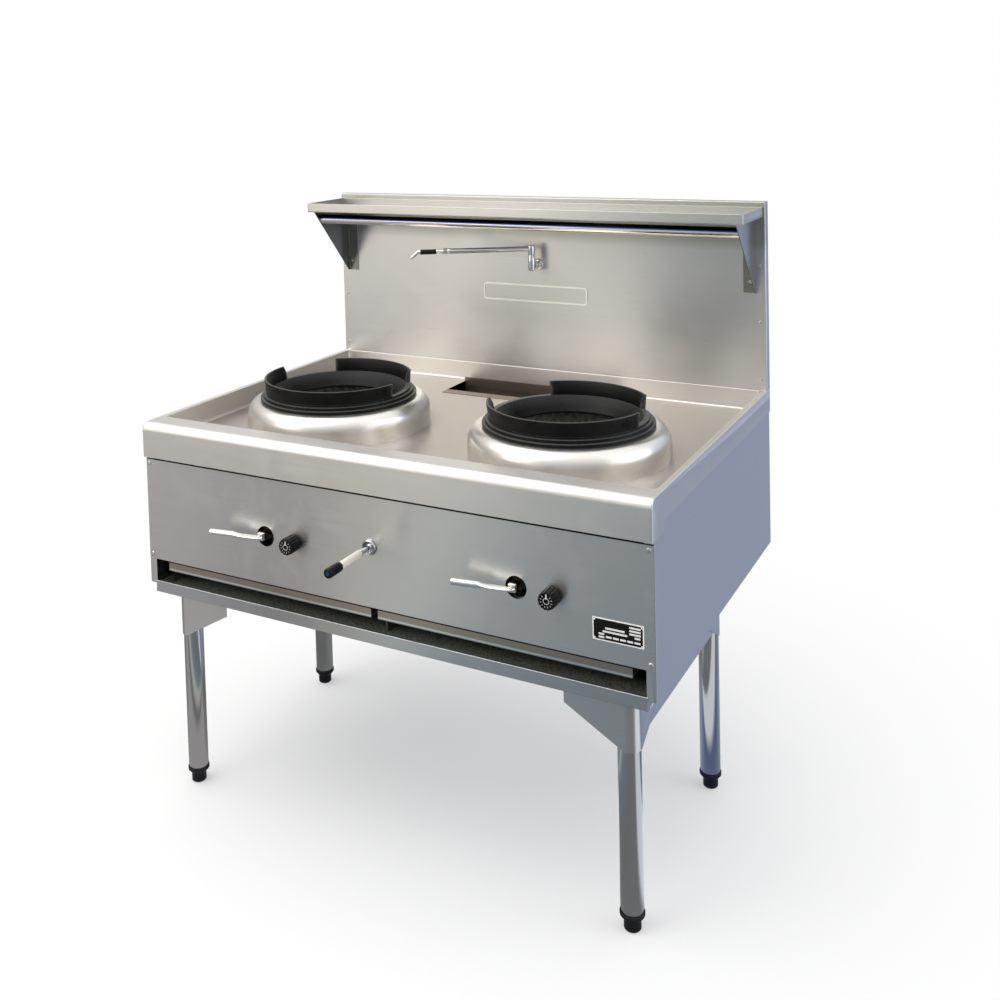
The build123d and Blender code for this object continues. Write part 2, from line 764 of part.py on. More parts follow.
runner_y = (drip_front + runner_front, drip_back + runner_back)
ledge_z = (drip_z - deck_sheet, drip_z)
with BuildPart() as tray_runners:
    for side in sides.values():
        wall_side = side * (tray_wall - runner_gap)
        block((wall_side, wall_side - side * deck_sheet), runner_y, (floor_z + deck_sheet, drip_z))
        block((wall_side, wall_side - side * ledge_width), runner_y, ledge_z)
    block((-ledge_width / 2, ledge_width / 2), runner_y, ledge_z)
    block((-deck_sheet, deck_sheet), runner_y,
          (floor_z + deck_sheet, drip_z + drip_wall))
tray_runners.part.label = "tray_runners"
export_step(tray_runners.part, "parts/tray_runners.step")

# Drain: a well under the deck, a waste outlet and a basket that lifts out
basket_gap = 2
basket_depth = 60
basket_sheet = 1
basket_lip = 30
basket_back_rise = 12
basket_hole = 3
basket_pitch = 14
well_depth = 90
well_flange = 15
waste_wall = 1.5
waste_flange = 35
waste_flange_height = 3
waste_drop = 25             # waste outlet's end below the bottom tray

well_top = deck_top - deck_sheet
well_bottom = deck_top - well_depth
waste_end = floor_z - waste_drop
basket_bottom = deck_top - basket_depth
drain_front = drain_y - drain_depth / 2
drain_back = drain_y + drain_depth / 2
basket_half = drain_half - basket_gap
basket_y = (drain_front + basket_gap, drain_back - basket_gap)

with BuildPart() as drain_well:
    block((-drain_half - deck_sheet, drain_half + deck_sheet),
          (drain_front - deck_sheet, drain_back + deck_sheet), (well_bottom, well_top))
    block((-drain_half - well_flange, drain_half + well_flange),
          (drain_front - well_flange, drain_back + deck_sheet), (well_top - deck_sheet, well_top))
    block((-drain_half, drain_half), (drain_front, drain_back),
          (well_bottom + deck_sheet, well_top + cut_over), Mode.SUBTRACT)
    post(0, drain_y, (well_bottom - cut_over, well_bottom + cut_over),
         waste_radius - waste_wall + run_gap, Mode.SUBTRACT)
drain_well.part.label = "drain_well"
export_step(drain_well.part, "parts/drain_well.step")

with BuildPart() as waste_outlet:
    post(0, drain_y, (waste_end, well_bottom), waste_radius)
    post(0, drain_y, (well_bottom - waste_flange_height, well_bottom), waste_flange)
    post(0, drain_y, (waste_end - cut_over, well_bottom + cut_over), waste_radius - waste_wall,
         Mode.SUBTRACT)
waste_outlet.part.label = "waste_outlet"
export_step(waste_outlet.part, "parts/waste_outlet.step")

rows_across = int((basket_y[1] - basket_y[0] - basket_pitch) / basket_pitch)
rows_along = int((2 * basket_half - basket_pitch) / basket_pitch)
rows_up = int((basket_depth - basket_pitch) / basket_pitch)
with BuildPart() as strainer_basket:
    block((-basket_half, basket_half), basket_y, (basket_bottom, deck_top + basket_back_rise))
    block((-basket_half - cut_over, basket_half + cut_over),
          (basket_y[0] - cut_over, basket_y[1] - basket_sheet),
          (deck_top + basket_sheet, deck_top + basket_back_rise + cut_over), Mode.SUBTRACT)
    block((-basket_half, basket_half), (basket_y[0] - basket_lip, basket_y[0] + 1),
          (deck_top, deck_top + basket_sheet))
    block((-basket_half + basket_sheet, basket_half - basket_sheet),
          (basket_y[0] + basket_sheet, basket_y[1] - basket_sheet),
          (basket_bottom + basket_sheet, deck_top + basket_back_rise + cut_over), Mode.SUBTRACT)
    with BuildSketch(Plane.XY.offset(basket_bottom)):
        with Locations((0, drain_y)):
            with GridLocations(basket_pitch, basket_pitch, rows_along, rows_across):
                Circle(basket_hole)
    extrude(amount=cut_over, both=True, mode=Mode.SUBTRACT)
    with BuildSketch(facing(basket_y[1])):
        with Locations((0, deck_top - basket_depth / 2)):
            with GridLocations(basket_pitch, basket_pitch, rows_along, rows_up):
                Circle(basket_hole)
    extrude(amount=cut_over, both=True, mode=Mode.SUBTRACT)
strainer_basket.part.label = "strainer_basket"
export_step(strainer_basket.part, "parts/strainer_basket.step")

# Wok stations: spun dome, lift-off cast ring, fire chamber, burner and its jets
dome_radius = 217.5
dome_wall = 28
dome_height = 63
dome_land = 190
dome_mouth = 176
dome_lip = 8
dome_sheet = 1.5
ring_flange = 185
ring_flange_height = 8
ring_step = 178
ring_step_height = 15
ring_body = 172
ring_body_height = 20
ring_inside = 160
ring_spigot = 170
ring_spigot_drop = 6
cone_radius = 127
cone_drop = 13
cone_thick = 9
wall_height = 30
wall_flare = 3
wall_top = 5
wall_bevel = 12
wall_angles = {                        # start and sweep of each ring's two raised walls
    "left": [(38, 89), (176, 174)],
    "right": [(38, 89), (195, 155)],
}
chamber_wall = 3
chamber_flange = 200
chamber_rise = 43
chamber_depth = 95
burner_radius = 95
burner_depth = 75           # burner's top below the deck
burner_height = 40
burner_edge = 6
boss_radius = 18
boss_offset = 31            # burner's inlet boss from its middle, towards the cock
boss_depth = 28             # boss's end below the gas cock's axis
jet_radius = 6
jet_height = 40
jet_bore = 2
jet_ring_radii = (0, 36, 72)
jet_counts = (1, 6, 12)     # jets on each of those rings
beam_size = 25
beam_sheet = 2
beam_spacing = 140

dome_top = deck_top + dome_height
burner_top = deck_top - burner_depth
burner_bottom = burner_top - burner_height
chamber_bottom = deck_top - chamber_depth
pipe_radius = 10.65

for name, side in sides.items():
    x = side * burner_x
    with BuildPart() as dome:
        with BuildSketch(turned(x, burner_y, 0)):
            with BuildLine():
                shoulder = dome_radius - dome_land
                shoulder_rise = dome_height - dome_wall
                land = (dome_land, deck_top + dome_wall)
                outside = EllipticalCenterArc(land, shoulder, shoulder_rise)
                inside = EllipticalCenterArc(land, shoulder - dome_sheet,
                                             shoulder_rise - dome_sheet)
                Polyline(inside @ 0, (dome_radius - dome_sheet, deck_top), (dome_radius, deck_top),
                         outside @ 0)
                Polyline(outside @ 1, (dome_mouth, dome_top), (dome_mouth, dome_top - dome_lip),
                         (dome_mouth + dome_sheet, dome_top - dome_lip),
                         (dome_mouth + dome_sheet, dome_top - dome_sheet), inside @ 1)
            make_face()
        revolve(axis=Axis((x, burner_y, 0), (0, 0, 1)))
    dome.part.label = f"dome_{name}"
    export_step(dome.part, f"parts/dome_{name}.step")

    step_z = dome_top + ring_step_height
    body_z = dome_top + ring_body_height
    with BuildPart() as wok_ring:
        with BuildSketch(turned(x, burner_y, 0)):
            with BuildLine():
                Polyline(
                    (cone_radius, dome_top - cone_drop),
                    (cone_radius + cone_thick, dome_top - cone_drop),
                    (ring_spigot, dome_top - ring_spigot_drop),
                    (ring_spigot, dome_top),
                    (ring_flange, dome_top),
                    (ring_flange, dome_top + ring_flange_height),
                    (ring_step, dome_top + ring_flange_height),
                    (ring_step, step_z),
                    (ring_body, step_z),
                    (ring_body, body_z),
                    (ring_inside, body_z),
                    (cone_radius, dome_top - cone_drop + cone_thick / 2),
                    close=True,
                )
            make_face()
        revolve(axis=Axis((x, burner_y, 0), (0, 0, 1)))
        for start, sweep_angle in wall_angles[name]:
            with BuildSketch(turned(x, burner_y, start)):
                with BuildLine():
                    top_z = body_z + wall_height
                    Polyline(
                        (ring_inside, body_z),
                        (ring_body, body_z),
                        (ring_body + wall_flare, top_z),
                        (ring_body + wall_flare - wall_top, top_z),
                        (ring_inside + wall_flare, top_z - wall_bevel),
                        close=True,
                    )
                make_face()
            revolve(axis=Axis((x, burner_y, 0), (0, 0, 1)), revolution_arc=sweep_angle)
    wok_ring.part.label = f"wok_ring_{name}"
    export_step(wok_ring.part, f"parts/wok_ring_{name}.step")

    with BuildPart() as burner:
        post(x, burner_y, (burner_bottom, burner_top), burner_radius)
        fillet(burner.faces().sort_by(Axis.Z)[-1].edges(), burner_edge)
        post(x + boss_offset, burner_y, (lever_z - boss_depth, burner_bottom + 1), boss_radius)
    burner.part.label = f"burner_{name}"
    export_step(burner.part, f"parts/burner_{name}.step")

with BuildPart() as fire_chambers:
    for side in sides.values():
        with BuildSketch(turned(side * burner_x, burner_y, 0)):
            with BuildLine():
                Polyline(
                    (chamber_radius - chamber_wall, chamber_bottom),
                    (chamber_radius, chamber_bottom),
                    (chamber_radius, deck_top),
                    (chamber_flange, deck_top),
                    (chamber_flange, deck_top + chamber_wall),
                    (chamber_radius, deck_top + chamber_wall),
                    (chamber_radius, deck_top + chamber_rise),
                    (chamber_radius - chamber_wall, deck_top + chamber_rise),
                    close=True,
                )
            make_face()
        revolve(axis=Axis((side * burner_x, burner_y, 0), (0, 0, 1)))
fire_chambers.part.label = "fire_chambers"
export_step(fire_chambers.part, "parts/fire_chambers.step")

with BuildPart() as burner_jets:
    for side in sides.values():
        for ring_radius, count in zip(jet_ring_radii, jet_counts):
            with BuildSketch(Plane.XY.offset(burner_top)):
                with Locations((side * burner_x, burner_y)):
                    with PolarLocations(ring_radius, count):
                        RegularPolygon(jet_radius, 6)
                        Circle(jet_bore, mode=Mode.SUBTRACT)
            extrude(amount=jet_height)
burner_jets.part.label = "burner_jets"
export_step(burner_jets.part, "parts/burner_jets.step")

beam_end = half_width - skin_sheet
with BuildPart() as burner_beams:
    for ahead in (-1, 1):
        y = burner_y + ahead * beam_spacing / 2
        block((-beam_end, beam_end), (y, y + ahead * beam_size),
              (burner_bottom - beam_sheet, burner_bottom))
        block((-beam_end, beam_end), (y, y + ahead * beam_sheet),
              (burner_bottom - beam_size, burner_bottom))
burner_beams.part.label = "burner_beams"
export_step(burner_beams.part, "parts/burner_beams.step")

# Gas train
cock_radius = 15
cock_setback = 12           # cock's face behind the front panel's face
cock_length = 63
stub_radius = 9
spindle_radius = 6
spindle_depth = 30
pilot_radius = 12
pilot_length = 57
pilot_stub = 7
stem_radius = 4
stem_depth = 28
pilot_travel = 4
stem_end_gap = 2            # behind the stem when it's pushed in
pilot_pipe = 3
pilot_bend = 12
pilot_head = 5
pilot_head_height = 16
pilot_rise = 72             # pilot pipe's top above its valve
joint_gap = 0.05

manifold_left = lever_x["left"] - manifold_over
manifold_points = [
    (manifold_left, manifold_y, manifold_z),
    (inlet_x, manifold_y, manifold_z),
    (inlet_x, back_y, manifold_z),
]
manifold_pipe = pipe_run(manifold_points, manifold_bend, manifold_radius, manifold_wall)
with BuildPart() as gas_manifold:
    add(manifold_pipe)
    with Locations((manifold_left + manifold_wall / 2, manifold_y, manifold_z)):
        Cylinder(manifold_radius, manifold_wall, rotation=(0, 90, 0))
gas_manifold.part.label = "gas_manifold"
export_step(gas_manifold.part, "parts/gas_manifold.step")


def clear_manifold():
    # leave room for the manifold under a cock or valve
    with Locations((0, manifold_y, manifold_z)):
        Cylinder(manifold_radius + joint_gap, overall_width, rotation=(0, 90, 0),
                 mode=Mode.SUBTRACT)


cock_front = panel_y + cock_setback
cock_back = cock_front + cock_length
with BuildPart() as gas_cocks:
    for x in lever_x.values():
        spigot(x, (cock_front, cock_back), lever_z, cock_radius)
        post(x, manifold_y, (manifold_z, lever_z), stub_radius)
        spigot(x, (cock_front - cut_over, cock_front + spindle_depth), lever_z,
               spindle_radius + run_gap, Mode.SUBTRACT)
    clear_manifold()
gas_cocks.part.label = "gas_cocks"
export_step(gas_cocks.part, "parts/gas_cocks.step")

with BuildPart() as burner_pipes:
    for name, x in lever_x.items():
        spigot(x, (cock_back, burner_y), lever_z, pipe_radius)
        post(x, burner_y, (lever_z - boss_depth - cut_over, burner_bottom),
             boss_radius + joint_gap, Mode.SUBTRACT)
burner_pipes.part.label = "burner_pipes"
export_step(burner_pipes.part, "parts/burner_pipes.step")

pilot_front = panel_back + run_gap
pilot_back = pilot_front + pilot_length
with BuildPart() as pilot_valves:
    for x in knob_x.values():
        spigot(x, (pilot_front, pilot_back), hole_z, pilot_radius)
        post(x, manifold_y, (manifold_z, hole_z), pilot_stub)
        spigot(x, (pilot_front - cut_over, panel_y + stem_depth + pilot_travel + stem_end_gap), hole_z,
               stem_radius + run_gap, Mode.SUBTRACT)
    clear_manifold()
pilot_valves.part.label = "pilot_valves"
export_step(pilot_valves.part, "parts/pilot_valves.step")

pilot_runs = [
    pipe_run([(x, pilot_back, hole_z), (x, burner_y, hole_z), (x, burner_y, hole_z + pilot_rise)],
             pilot_bend, pilot_pipe, water_wall)
    for x in knob_x.values()
]
with BuildPart() as pilot_pipes:
    add(pilot_runs)
    for x in knob_x.values():
        post(x, burner_y, (hole_z + pilot_rise, hole_z + pilot_rise + pilot_head_height),
             pilot_head)
pilot_pipes.part.label = "pilot_pipes"
export_step(pilot_pipes.part, "parts/pilot_pipes.step")

# Gas levers: a round handle flattened to a strap that is screwed to the cock's spindle
hub_size = 16
hub_front = 20              # hub's face in front of the front panel
hub_length = 14
hub_edge = 2
spindle_end_gap = 1
strap_width = 18
strap_thick = 4
lever_kink = (-42, -28)     # kink from the spindle's axis: across, and from the panel
lever_tip = (-118, -40)
handle_radius = 6.5
flat_length = 22
lever_screw = 5
lever_screw_height = 3

for name, x in lever_x.items():
    hub_y = panel_y - hub_front
    kink = Vector(x + lever_kink[0], panel_y + lever_kink[1], lever_z)
    tip = Vector(x + lever_tip[0], panel_y + lever_tip[1], lever_z)
    strap_start = Vector(x, hub_y, lever_z)
    strap_run = kink - strap_start
    handle_run = tip - kink
    with BuildPart() as gas_lever:
        block((x - hub_size / 2, x + hub_size / 2), (hub_y, hub_y + hub_length),
              (lever_z - hub_size / 2, lever_z + hub_size / 2))
        chamfer(gas_lever.edges().filter_by(Axis.Y), hub_edge)
        spigot(x, (hub_y + hub_length, cock_front + spindle_depth - spindle_end_gap), lever_z,
               spindle_radius)
        with BuildSketch(Plane(origin=strap_start, x_dir=(0, 0, 1), z_dir=strap_run)):
            Rectangle(strap_width, strap_thick)
        extrude(amount=strap_run.length)
        handle = Plane(origin=kink, x_dir=(0, 0, 1), z_dir=handle_run)
        with BuildSketch(handle):
            Rectangle(strap_width, strap_thick)
        with BuildSketch(handle.offset(flat_length)):
            Circle(handle_radius)
        loft()
        with BuildSketch(handle.offset(flat_length)):
            Circle(handle_radius)
        extrude(amount=handle_run.length - flat_length)
        spigot(x, (hub_y - strap_thick / 2 - lever_screw_height, hub_y), lever_z, lever_screw)
    gas_lever.part.label = f"gas_lever_{name}"
    export_step(gas_lever.part, f"parts/gas_lever_{name}.step")

# Pilot spindles push in; the knobs turn on them
knob_radius = 18
knob_length = 26
knob_gap = 6                # knob's back in front of the front panel
flute_count = 14
flute_radius = 2
knob_bore_depth = 18
knob_face_edge = 1.5
skirt_share = 0.75          # fluted skirt's share of the knob's length
knob_back = panel_y - knob_gap
knob_face = knob_back - knob_length
for name, x in knob_x.items():
    with BuildPart() as pilot_spindle:
        spigot(x, (knob_back - knob_bore_depth + stem_end_gap / 2, panel_y + stem_depth), hole_z,
               stem_radius)
    pilot_spindle.part.label = f"pilot_spindle_{name}"
    export_step(pilot_spindle.part, f"parts/pilot_spindle_{name}.step")

    with BuildPart() as knob:
        with BuildSketch(facing(knob_back)):
            with Locations((x, hole_z)):
                Circle(knob_radius)
                with PolarLocations(knob_radius + flute_radius / 2, flute_count):
                    Circle(flute_radius, mode=Mode.SUBTRACT)
        extrude(amount=knob_length * skirt_share)
        spigot(x, (knob_face, knob_back), hole_z, knob_radius - flute_radius)
        fillet(knob.faces().sort_by(Axis.Y)[0].edges(), knob_face_edge)
        spigot(x, (knob_back - knob_bore_depth, knob_back + cut_over), hole_z,
               stem_radius + run_gap, Mode.SUBTRACT)
    knob.part.label = f"knob_{name}"
    export_step(knob.part, f"parts/knob_{name}.step")

# Water control: a ball lever in a collar on the front panel, its valve and pipes
ball_radius = 9
ball_setback = 2            # ball's middle behind the front panel's face
valve_radius = 22
valve_length = 45
rod_radius = 5
rod_reach = 37
sleeve_radius = 7.5
sleeve_reach = 107
water_grip_radius = 10
grip_groove = 1
grip_groove_at = 14
grip_edge = 2
sleeve_edge = 1
collar_edge = 1.5
first_run = 60              # water pipes' straight run behind the valve
ball_y = panel_y + ball_setback
valve_back = panel_back + valve_length

with BuildPart() as water_valve:
    spigot(0, (panel_back, valve_back), water_z, valve_radius)
    spigot(0, (panel_y - collar_height, panel_back + 1), water_z, collar_neck)
    spigot(0, (panel_y - collar_height, panel_y), water_z, collar_radius)
    fillet(water_valve.faces().sort_by(Axis.Y)[0].edges(), collar_edge)
    spigot(0, (panel_y - collar_height - cut_over, ball_y), water_z, collar_bore, Mode.SUBTRACT)
    with Locations((0, ball_y, water_z)):
        Sphere(ball_radius + run_gap, mode=Mode.SUBTRACT)
water_valve.part.label = "water_valve"
export_step(water_valve.part, "parts/water_valve.step")

with BuildPart() as water_lever:
    with Locations((0, ball_y, water_z)):
        Sphere(ball_radius)
    spigot(0, (panel_y - rod_reach, ball_y), water_z, rod_radius)
    spigot(0, (panel_y - sleeve_reach, panel_y - rod_reach), water_z, sleeve_radius)
    fillet(water_lever.edges().filter_by(GeomType.CIRCLE).sort_by(Axis.Y)[-2], sleeve_edge)
water_lever.part.label = "water_lever"
export_step(water_lever.part, "parts/water_lever.step")

grip_end = panel_y - control_reach
with BuildPart() as water_grip:
    spigot(0, (grip_end, panel_y - sleeve_reach), water_z, water_grip_radius)
    fillet(water_grip.edges(), grip_edge)
    groove_y = grip_end + grip_groove_at
    with BuildSketch(facing(groove_y)):
        with Locations((0, water_z)):
            Circle(water_grip_radius + cut_over)
            Circle(water_grip_radius - grip_groove, mode=Mode.SUBTRACT)
    extrude(amount=2 * grip_groove, mode=Mode.SUBTRACT)
water_grip.part.label = "water_grip"
export_step(water_grip.part, "parts/water_grip.step")

first_turn = valve_back + first_run
outlet_points = [
    (water_port, valve_back, water_pipe_z),
    (water_port, first_turn, water_pipe_z),
    (riser_x, first_turn, water_pipe_z),
    (riser_x, riser_y, water_pipe_z),
    (riser_x, riser_y, tap_height),
    (tap_x + tail_radius + joint_gap, riser_y, tap_height),
]
inlet_points = [
    (-water_port, valve_back, water_pipe_z),
    (-water_port, first_turn, water_pipe_z),
    (water_in_x, first_turn, water_pipe_z),
    (water_in_x, back_y, water_pipe_z),
]
water_runs = [
    pipe_run(points, water_bend, riser_radius, water_wall)
    for points in (outlet_points, inlet_points)
]
with BuildPart() as water_pipes:
    add(water_runs)
water_pipes.part.label = "water_pipes"
export_step(water_pipes.part, "parts/water_pipes.step")
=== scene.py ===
import math

import bpy
from mathutils import Matrix, Vector


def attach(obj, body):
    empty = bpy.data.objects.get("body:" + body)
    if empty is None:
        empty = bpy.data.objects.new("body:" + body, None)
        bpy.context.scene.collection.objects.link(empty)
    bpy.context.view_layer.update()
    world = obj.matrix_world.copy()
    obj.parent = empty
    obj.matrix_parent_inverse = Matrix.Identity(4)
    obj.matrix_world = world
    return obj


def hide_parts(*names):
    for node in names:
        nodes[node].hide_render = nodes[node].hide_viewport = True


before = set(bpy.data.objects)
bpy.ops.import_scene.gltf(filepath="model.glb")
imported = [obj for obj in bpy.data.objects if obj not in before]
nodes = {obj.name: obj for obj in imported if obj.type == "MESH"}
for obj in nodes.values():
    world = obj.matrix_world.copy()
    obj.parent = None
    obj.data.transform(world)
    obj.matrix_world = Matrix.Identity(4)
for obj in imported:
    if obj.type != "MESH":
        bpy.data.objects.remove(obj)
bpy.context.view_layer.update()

sides = {"left": -1, "right": 1}
rows = ("front", "back")
frontY = -0.3465  # face of the front panel
splashY = 0.4705  # face of the splashback
burnerSpots = {side: (sign * 0.296, -0.0105, 0) for side, sign in sides.items()}


# shader nodes
def addNode(tree, kind, inputs=None, **settings):
    # an input is a link where a socket is given, and else a starting value
    node = tree.nodes.new(kind)
    for key, value in settings.items():
        setattr(node, key, value)
    for key, value in (inputs or {}).items():
        if isinstance(value, bpy.types.NodeSocket):
            tree.links.new(value, node.inputs[key])
        else:
            node.inputs[key].default_value = value
    return node


def objectPlace(tree):
    return addNode(tree, "ShaderNodeTexCoord").outputs["Object"]


def partsOf(tree, vector):
    return addNode(tree, "ShaderNodeSeparateXYZ", {0: vector}).outputs


def vectorLength(tree, vector):
    return addNode(tree, "ShaderNodeVectorMath", {0: vector}, operation="LENGTH").outputs["Value"]


def noise(tree, place, **looks):
    # looks are the noise's own inputs, such as scale and detail
    inputs = {key.capitalize(): value for key, value in looks.items()}
    return addNode(tree, "ShaderNodeTexNoise", {"Vector": place, **inputs}).outputs["Fac"]


def combine(tree, operation, first, second, kind="Math"):
    return addNode(tree, "ShaderNode" + kind, {0: first, 1: second}, operation=operation).outputs[0]


def bump(tree, height, strength, distance, **under):
    inputs = {"Height": height, "Strength": strength, "Distance": distance, **under}
    return addNode(tree, "ShaderNodeBump", inputs).outputs["Normal"]


def spread(tree, factor, low, high, start=0.3, end=0.7):
    # a mask, drawn out between two values
    inputs = {"Value": factor, "From Min": start, "From Max": end, "To Min": low, "To Max": high}
    return addNode(tree, "ShaderNodeMapRange", inputs).outputs["Result"]


def mixColours(tree, factor, low, high):
    low, high = ((*colour, 1.0) if isinstance(colour, tuple) else colour for colour in (low, high))
    return addNode(tree, "ShaderNodeMix", {0: factor, 6: low, 7: high}, data_type="RGBA").outputs[2]


def bandMask(tree, source, axis, low, high, soft=0.0004):
    # one between two values of a coordinate or of a normal's part, nought outside them
    value = partsOf(tree, source)[axis]
    rise = spread(tree, value, 0.0, 1.0, low - soft, low + soft)
    fall = spread(tree, value, 1.0, 0.0, high - soft, high + soft)
    return combine(tree, "MULTIPLY", rise, fall)


# groups that several materials share
def newGroup(name, inputs, outputs):
    # its tree, its input sockets, and the place on the object
    tree = bpy.data.node_groups.new(name, "ShaderNodeTree")
    for label, value in inputs.items():
        kind = "NodeSocketVector" if isinstance(value, tuple) else "NodeSocketFloat"
        tree.interface.new_socket(name=label, in_out="INPUT", socket_type=kind).default_value = value
    for label in outputs:
        kind = "NodeSocketVector" if label == "Normal" else "NodeSocketFloat"
        tree.interface.new_socket(name=label, in_out="OUTPUT", socket_type=kind)
    return tree, addNode(tree, "NodeGroupInput").outputs, objectPlace(tree)


def placeGroup(tree, name, inputs):
    return addNode(tree, "ShaderNodeGroup", inputs, node_tree=bpy.data.node_groups[name]).outputs


def makeBrushedGrain():
    # long fine scratches along one direction, soft clouds and the slight wave of a rolled sheet
    inputs = {"Stretch": (3, 300, 300), "Depth": 0.1, "Wave": 0.1}
    tree, enter, place = newGroup("brushedGrain", inputs, ("Streaks", "Clouds", "Normal"))
    long = combine(tree, "MULTIPLY", place, enter["Stretch"], "VectorMath")
    streaks = noise(tree, long, scale=1.0, detail=5.0, roughness=0.65)
    sheet = bump(tree, noise(tree, place, scale=4.3, detail=1.0), enter["Wave"], 0.01)
    addNode(tree, "NodeGroupOutput", {
        "Streaks": streaks,
        "Clouds": noise(tree, place, scale=3.1, detail=3.0, distortion=0.6),
        "Normal": bump(tree, streaks, enter["Depth"], 0.0002, Normal=sheet),
    })


def makeSpunGrain():
    # rings round an upright axis, as a spinning lathe leaves them
    tree, enter, place = newGroup(
        "spunGrain", {"Centre": (0, 0, 0), "Rings": 500.0, "Depth": 0.1}, ("Streaks", "Normal"))
    parts = partsOf(tree, combine(tree, "SUBTRACT", place, enter["Centre"], "VectorMath"))
    flat = addNode(tree, "ShaderNodeCombineXYZ", {"X": parts["X"], "Y": parts["Y"]}).outputs[0]
    reach = vectorLength(tree, flat)
    rings = addNode(tree, "ShaderNodeCombineXYZ", {"X": reach, "Z": parts["Z"]}).outputs[0]
    dense = addNode(tree, "ShaderNodeVectorMath", {0: rings, "Scale": enter["Rings"]}, operation="SCALE")
    streaks = noise(tree, dense.outputs[0], scale=1.0, detail=4.0, roughness=0.6)
    normal = bump(tree, streaks, enter["Depth"], 0.0003)
    addNode(tree, "NodeGroupOutput", {"Streaks": streaks, "Normal": normal})


def makeHandMarks():
    # thin smears and wiped patches that dull a surface here and there
    tree, enter, place = newGroup("handMarks", {"Size": 9.0, "Amount": 0.5}, ("Mask",))
    smear = noise(tree, place, scale=enter["Size"], detail=6.0, roughness=0.7, distortion=1.4)
    patches = spread(tree, smear, 0.0, 1.0, 0.5, 0.75)
    addNode(tree, "NodeGroupOutput", {"Mask": combine(tree, "MULTIPLY", patches, enter["Amount"])})


def makeRubbedEdges():
    # outer edges, worn lighter or smoother, broken up by noise
    tree, enter, place = newGroup("rubbedEdges", {"Start": 0.52, "End": 0.6, "Size": 90.0}, ("Mask",))
    pointed = addNode(tree, "ShaderNodeNewGeometry").outputs["Pointiness"]
    edge = spread(tree, pointed, 0.0, 1.0, enter["Start"], enter["End"])
    broken = noise(tree, place, scale=enter["Size"], detail=4.0)
    addNode(tree, "NodeGroupOutput", {"Mask": combine(tree, "MULTIPLY", edge, broken)})


def makeCastSkin():
    # the sandy, pitted skin of a casting
    tree, enter, place = newGroup("castSkin", {"Size": 700.0, "Depth": 0.4}, ("Tone", "Normal"))
    sand = noise(tree, place, scale=enter["Size"], detail=3.0, roughness=0.6)
    tone = noise(tree, place, scale=24.0, detail=4.0)
    addNode(tree, "NodeGroupOutput", {"Tone": tone, "Normal": bump(tree, sand, enter["Depth"], 0.0006)})


makeBrushedGrain()
makeSpunGrain()
makeHandMarks()
makeRubbedEdges()
makeCastSkin()


# the finishes
def newMaterial(name):
    material = bpy.data.materials.new(name)
    material.use_nodes = True
    material.node_tree.nodes.clear()
    return material, material.node_tree


def setShader(tree, inputs):
    shader = addNode(tree, "ShaderNodeBsdfPrincipled", inputs)
    addNode(tree, "ShaderNodeOutputMaterial", {0: shader.outputs[0]})


def shaderInputs(tree):
    return next(node for node in tree.nodes if node.type == "BSDF_PRINCIPLED").inputs


def shadeBand(material, axis, low, high, colour, soft=0.0004, facing=False, upward=False):
    # painted light or shade on part of a sheet, in another tone; by place, or by the way it faces
    tree = material.node_tree
    normal = addNode(tree, "ShaderNodeNewGeometry").outputs["Normal"]
    mask = bandMask(tree, normal if facing else objectPlace(tree), axis, low, high, soft)
    if upward:
        mask = combine(tree, "MULTIPLY", mask, bandMask(tree, normal, "Z", 0.8, 2.0, 0.1))
    base = shaderInputs(tree)["Base Color"]
    tree.links.new(mixColours(tree, mask, base.links[0].from_socket, colour), base)
    return material


def brushedSteel(name, look):
    material, tree = newMaterial(name)
    grain = placeGroup(tree, "brushedGrain", {
        "Stretch": look["stretch"], "Depth": look["depth"], "Wave": look["wave"]})
    marks = placeGroup(tree, "handMarks", {"Amount": look["marks"]})["Mask"]
    tone = mixColours(tree, grain["Streaks"], look["dark"], look["light"])
    rough = spread(tree, grain["Streaks"], look["smooth"], look["rough"])
    normal = addNode(tree, "ShaderNodeNewGeometry").outputs["Normal"]
    setShader(tree, {
        "Base Color": mixColours(tree, grain["Clouds"], tone, look["cloud"]),
        "Roughness": combine(tree, "ADD", rough, marks),
        "Normal": grain["Normal"],
        "Metallic": 1.0,
        "Anisotropic": look["anisotropy"],
        # highlights stretch across the scratches, not along them
        "Tangent": combine(tree, "CROSS_PRODUCT", normal, look["along"], "VectorMath"),
    })
    return material


sheetLook = {
    "light": (0.67, 0.66, 0.645),
    "dark": (0.63, 0.62, 0.605),
    "cloud": (0.65, 0.645, 0.635),
    "smooth": 0.27,
    "rough": 0.33,
    "marks": 0.05,
    "depth": 0.05,
    "wave": 0.03,
    "anisotropy": 0.7,
    "stretch": (4, 900, 900),
    "along": (1, 0, 0),
}
grainY = {"stretch": (900, 4, 900), "along": (0, 1, 0)}
grainZ = {"stretch": (900, 900, 4), "along": (0, 0, 1)}


def sheetSteel(name, tones=(), **changes):
    # the common sheet in other tones (light, dark, cloud) or with other values
    return brushedSteel(name, {**sheetLook, **dict(zip(("light", "dark", "cloud"), tones)), **changes})
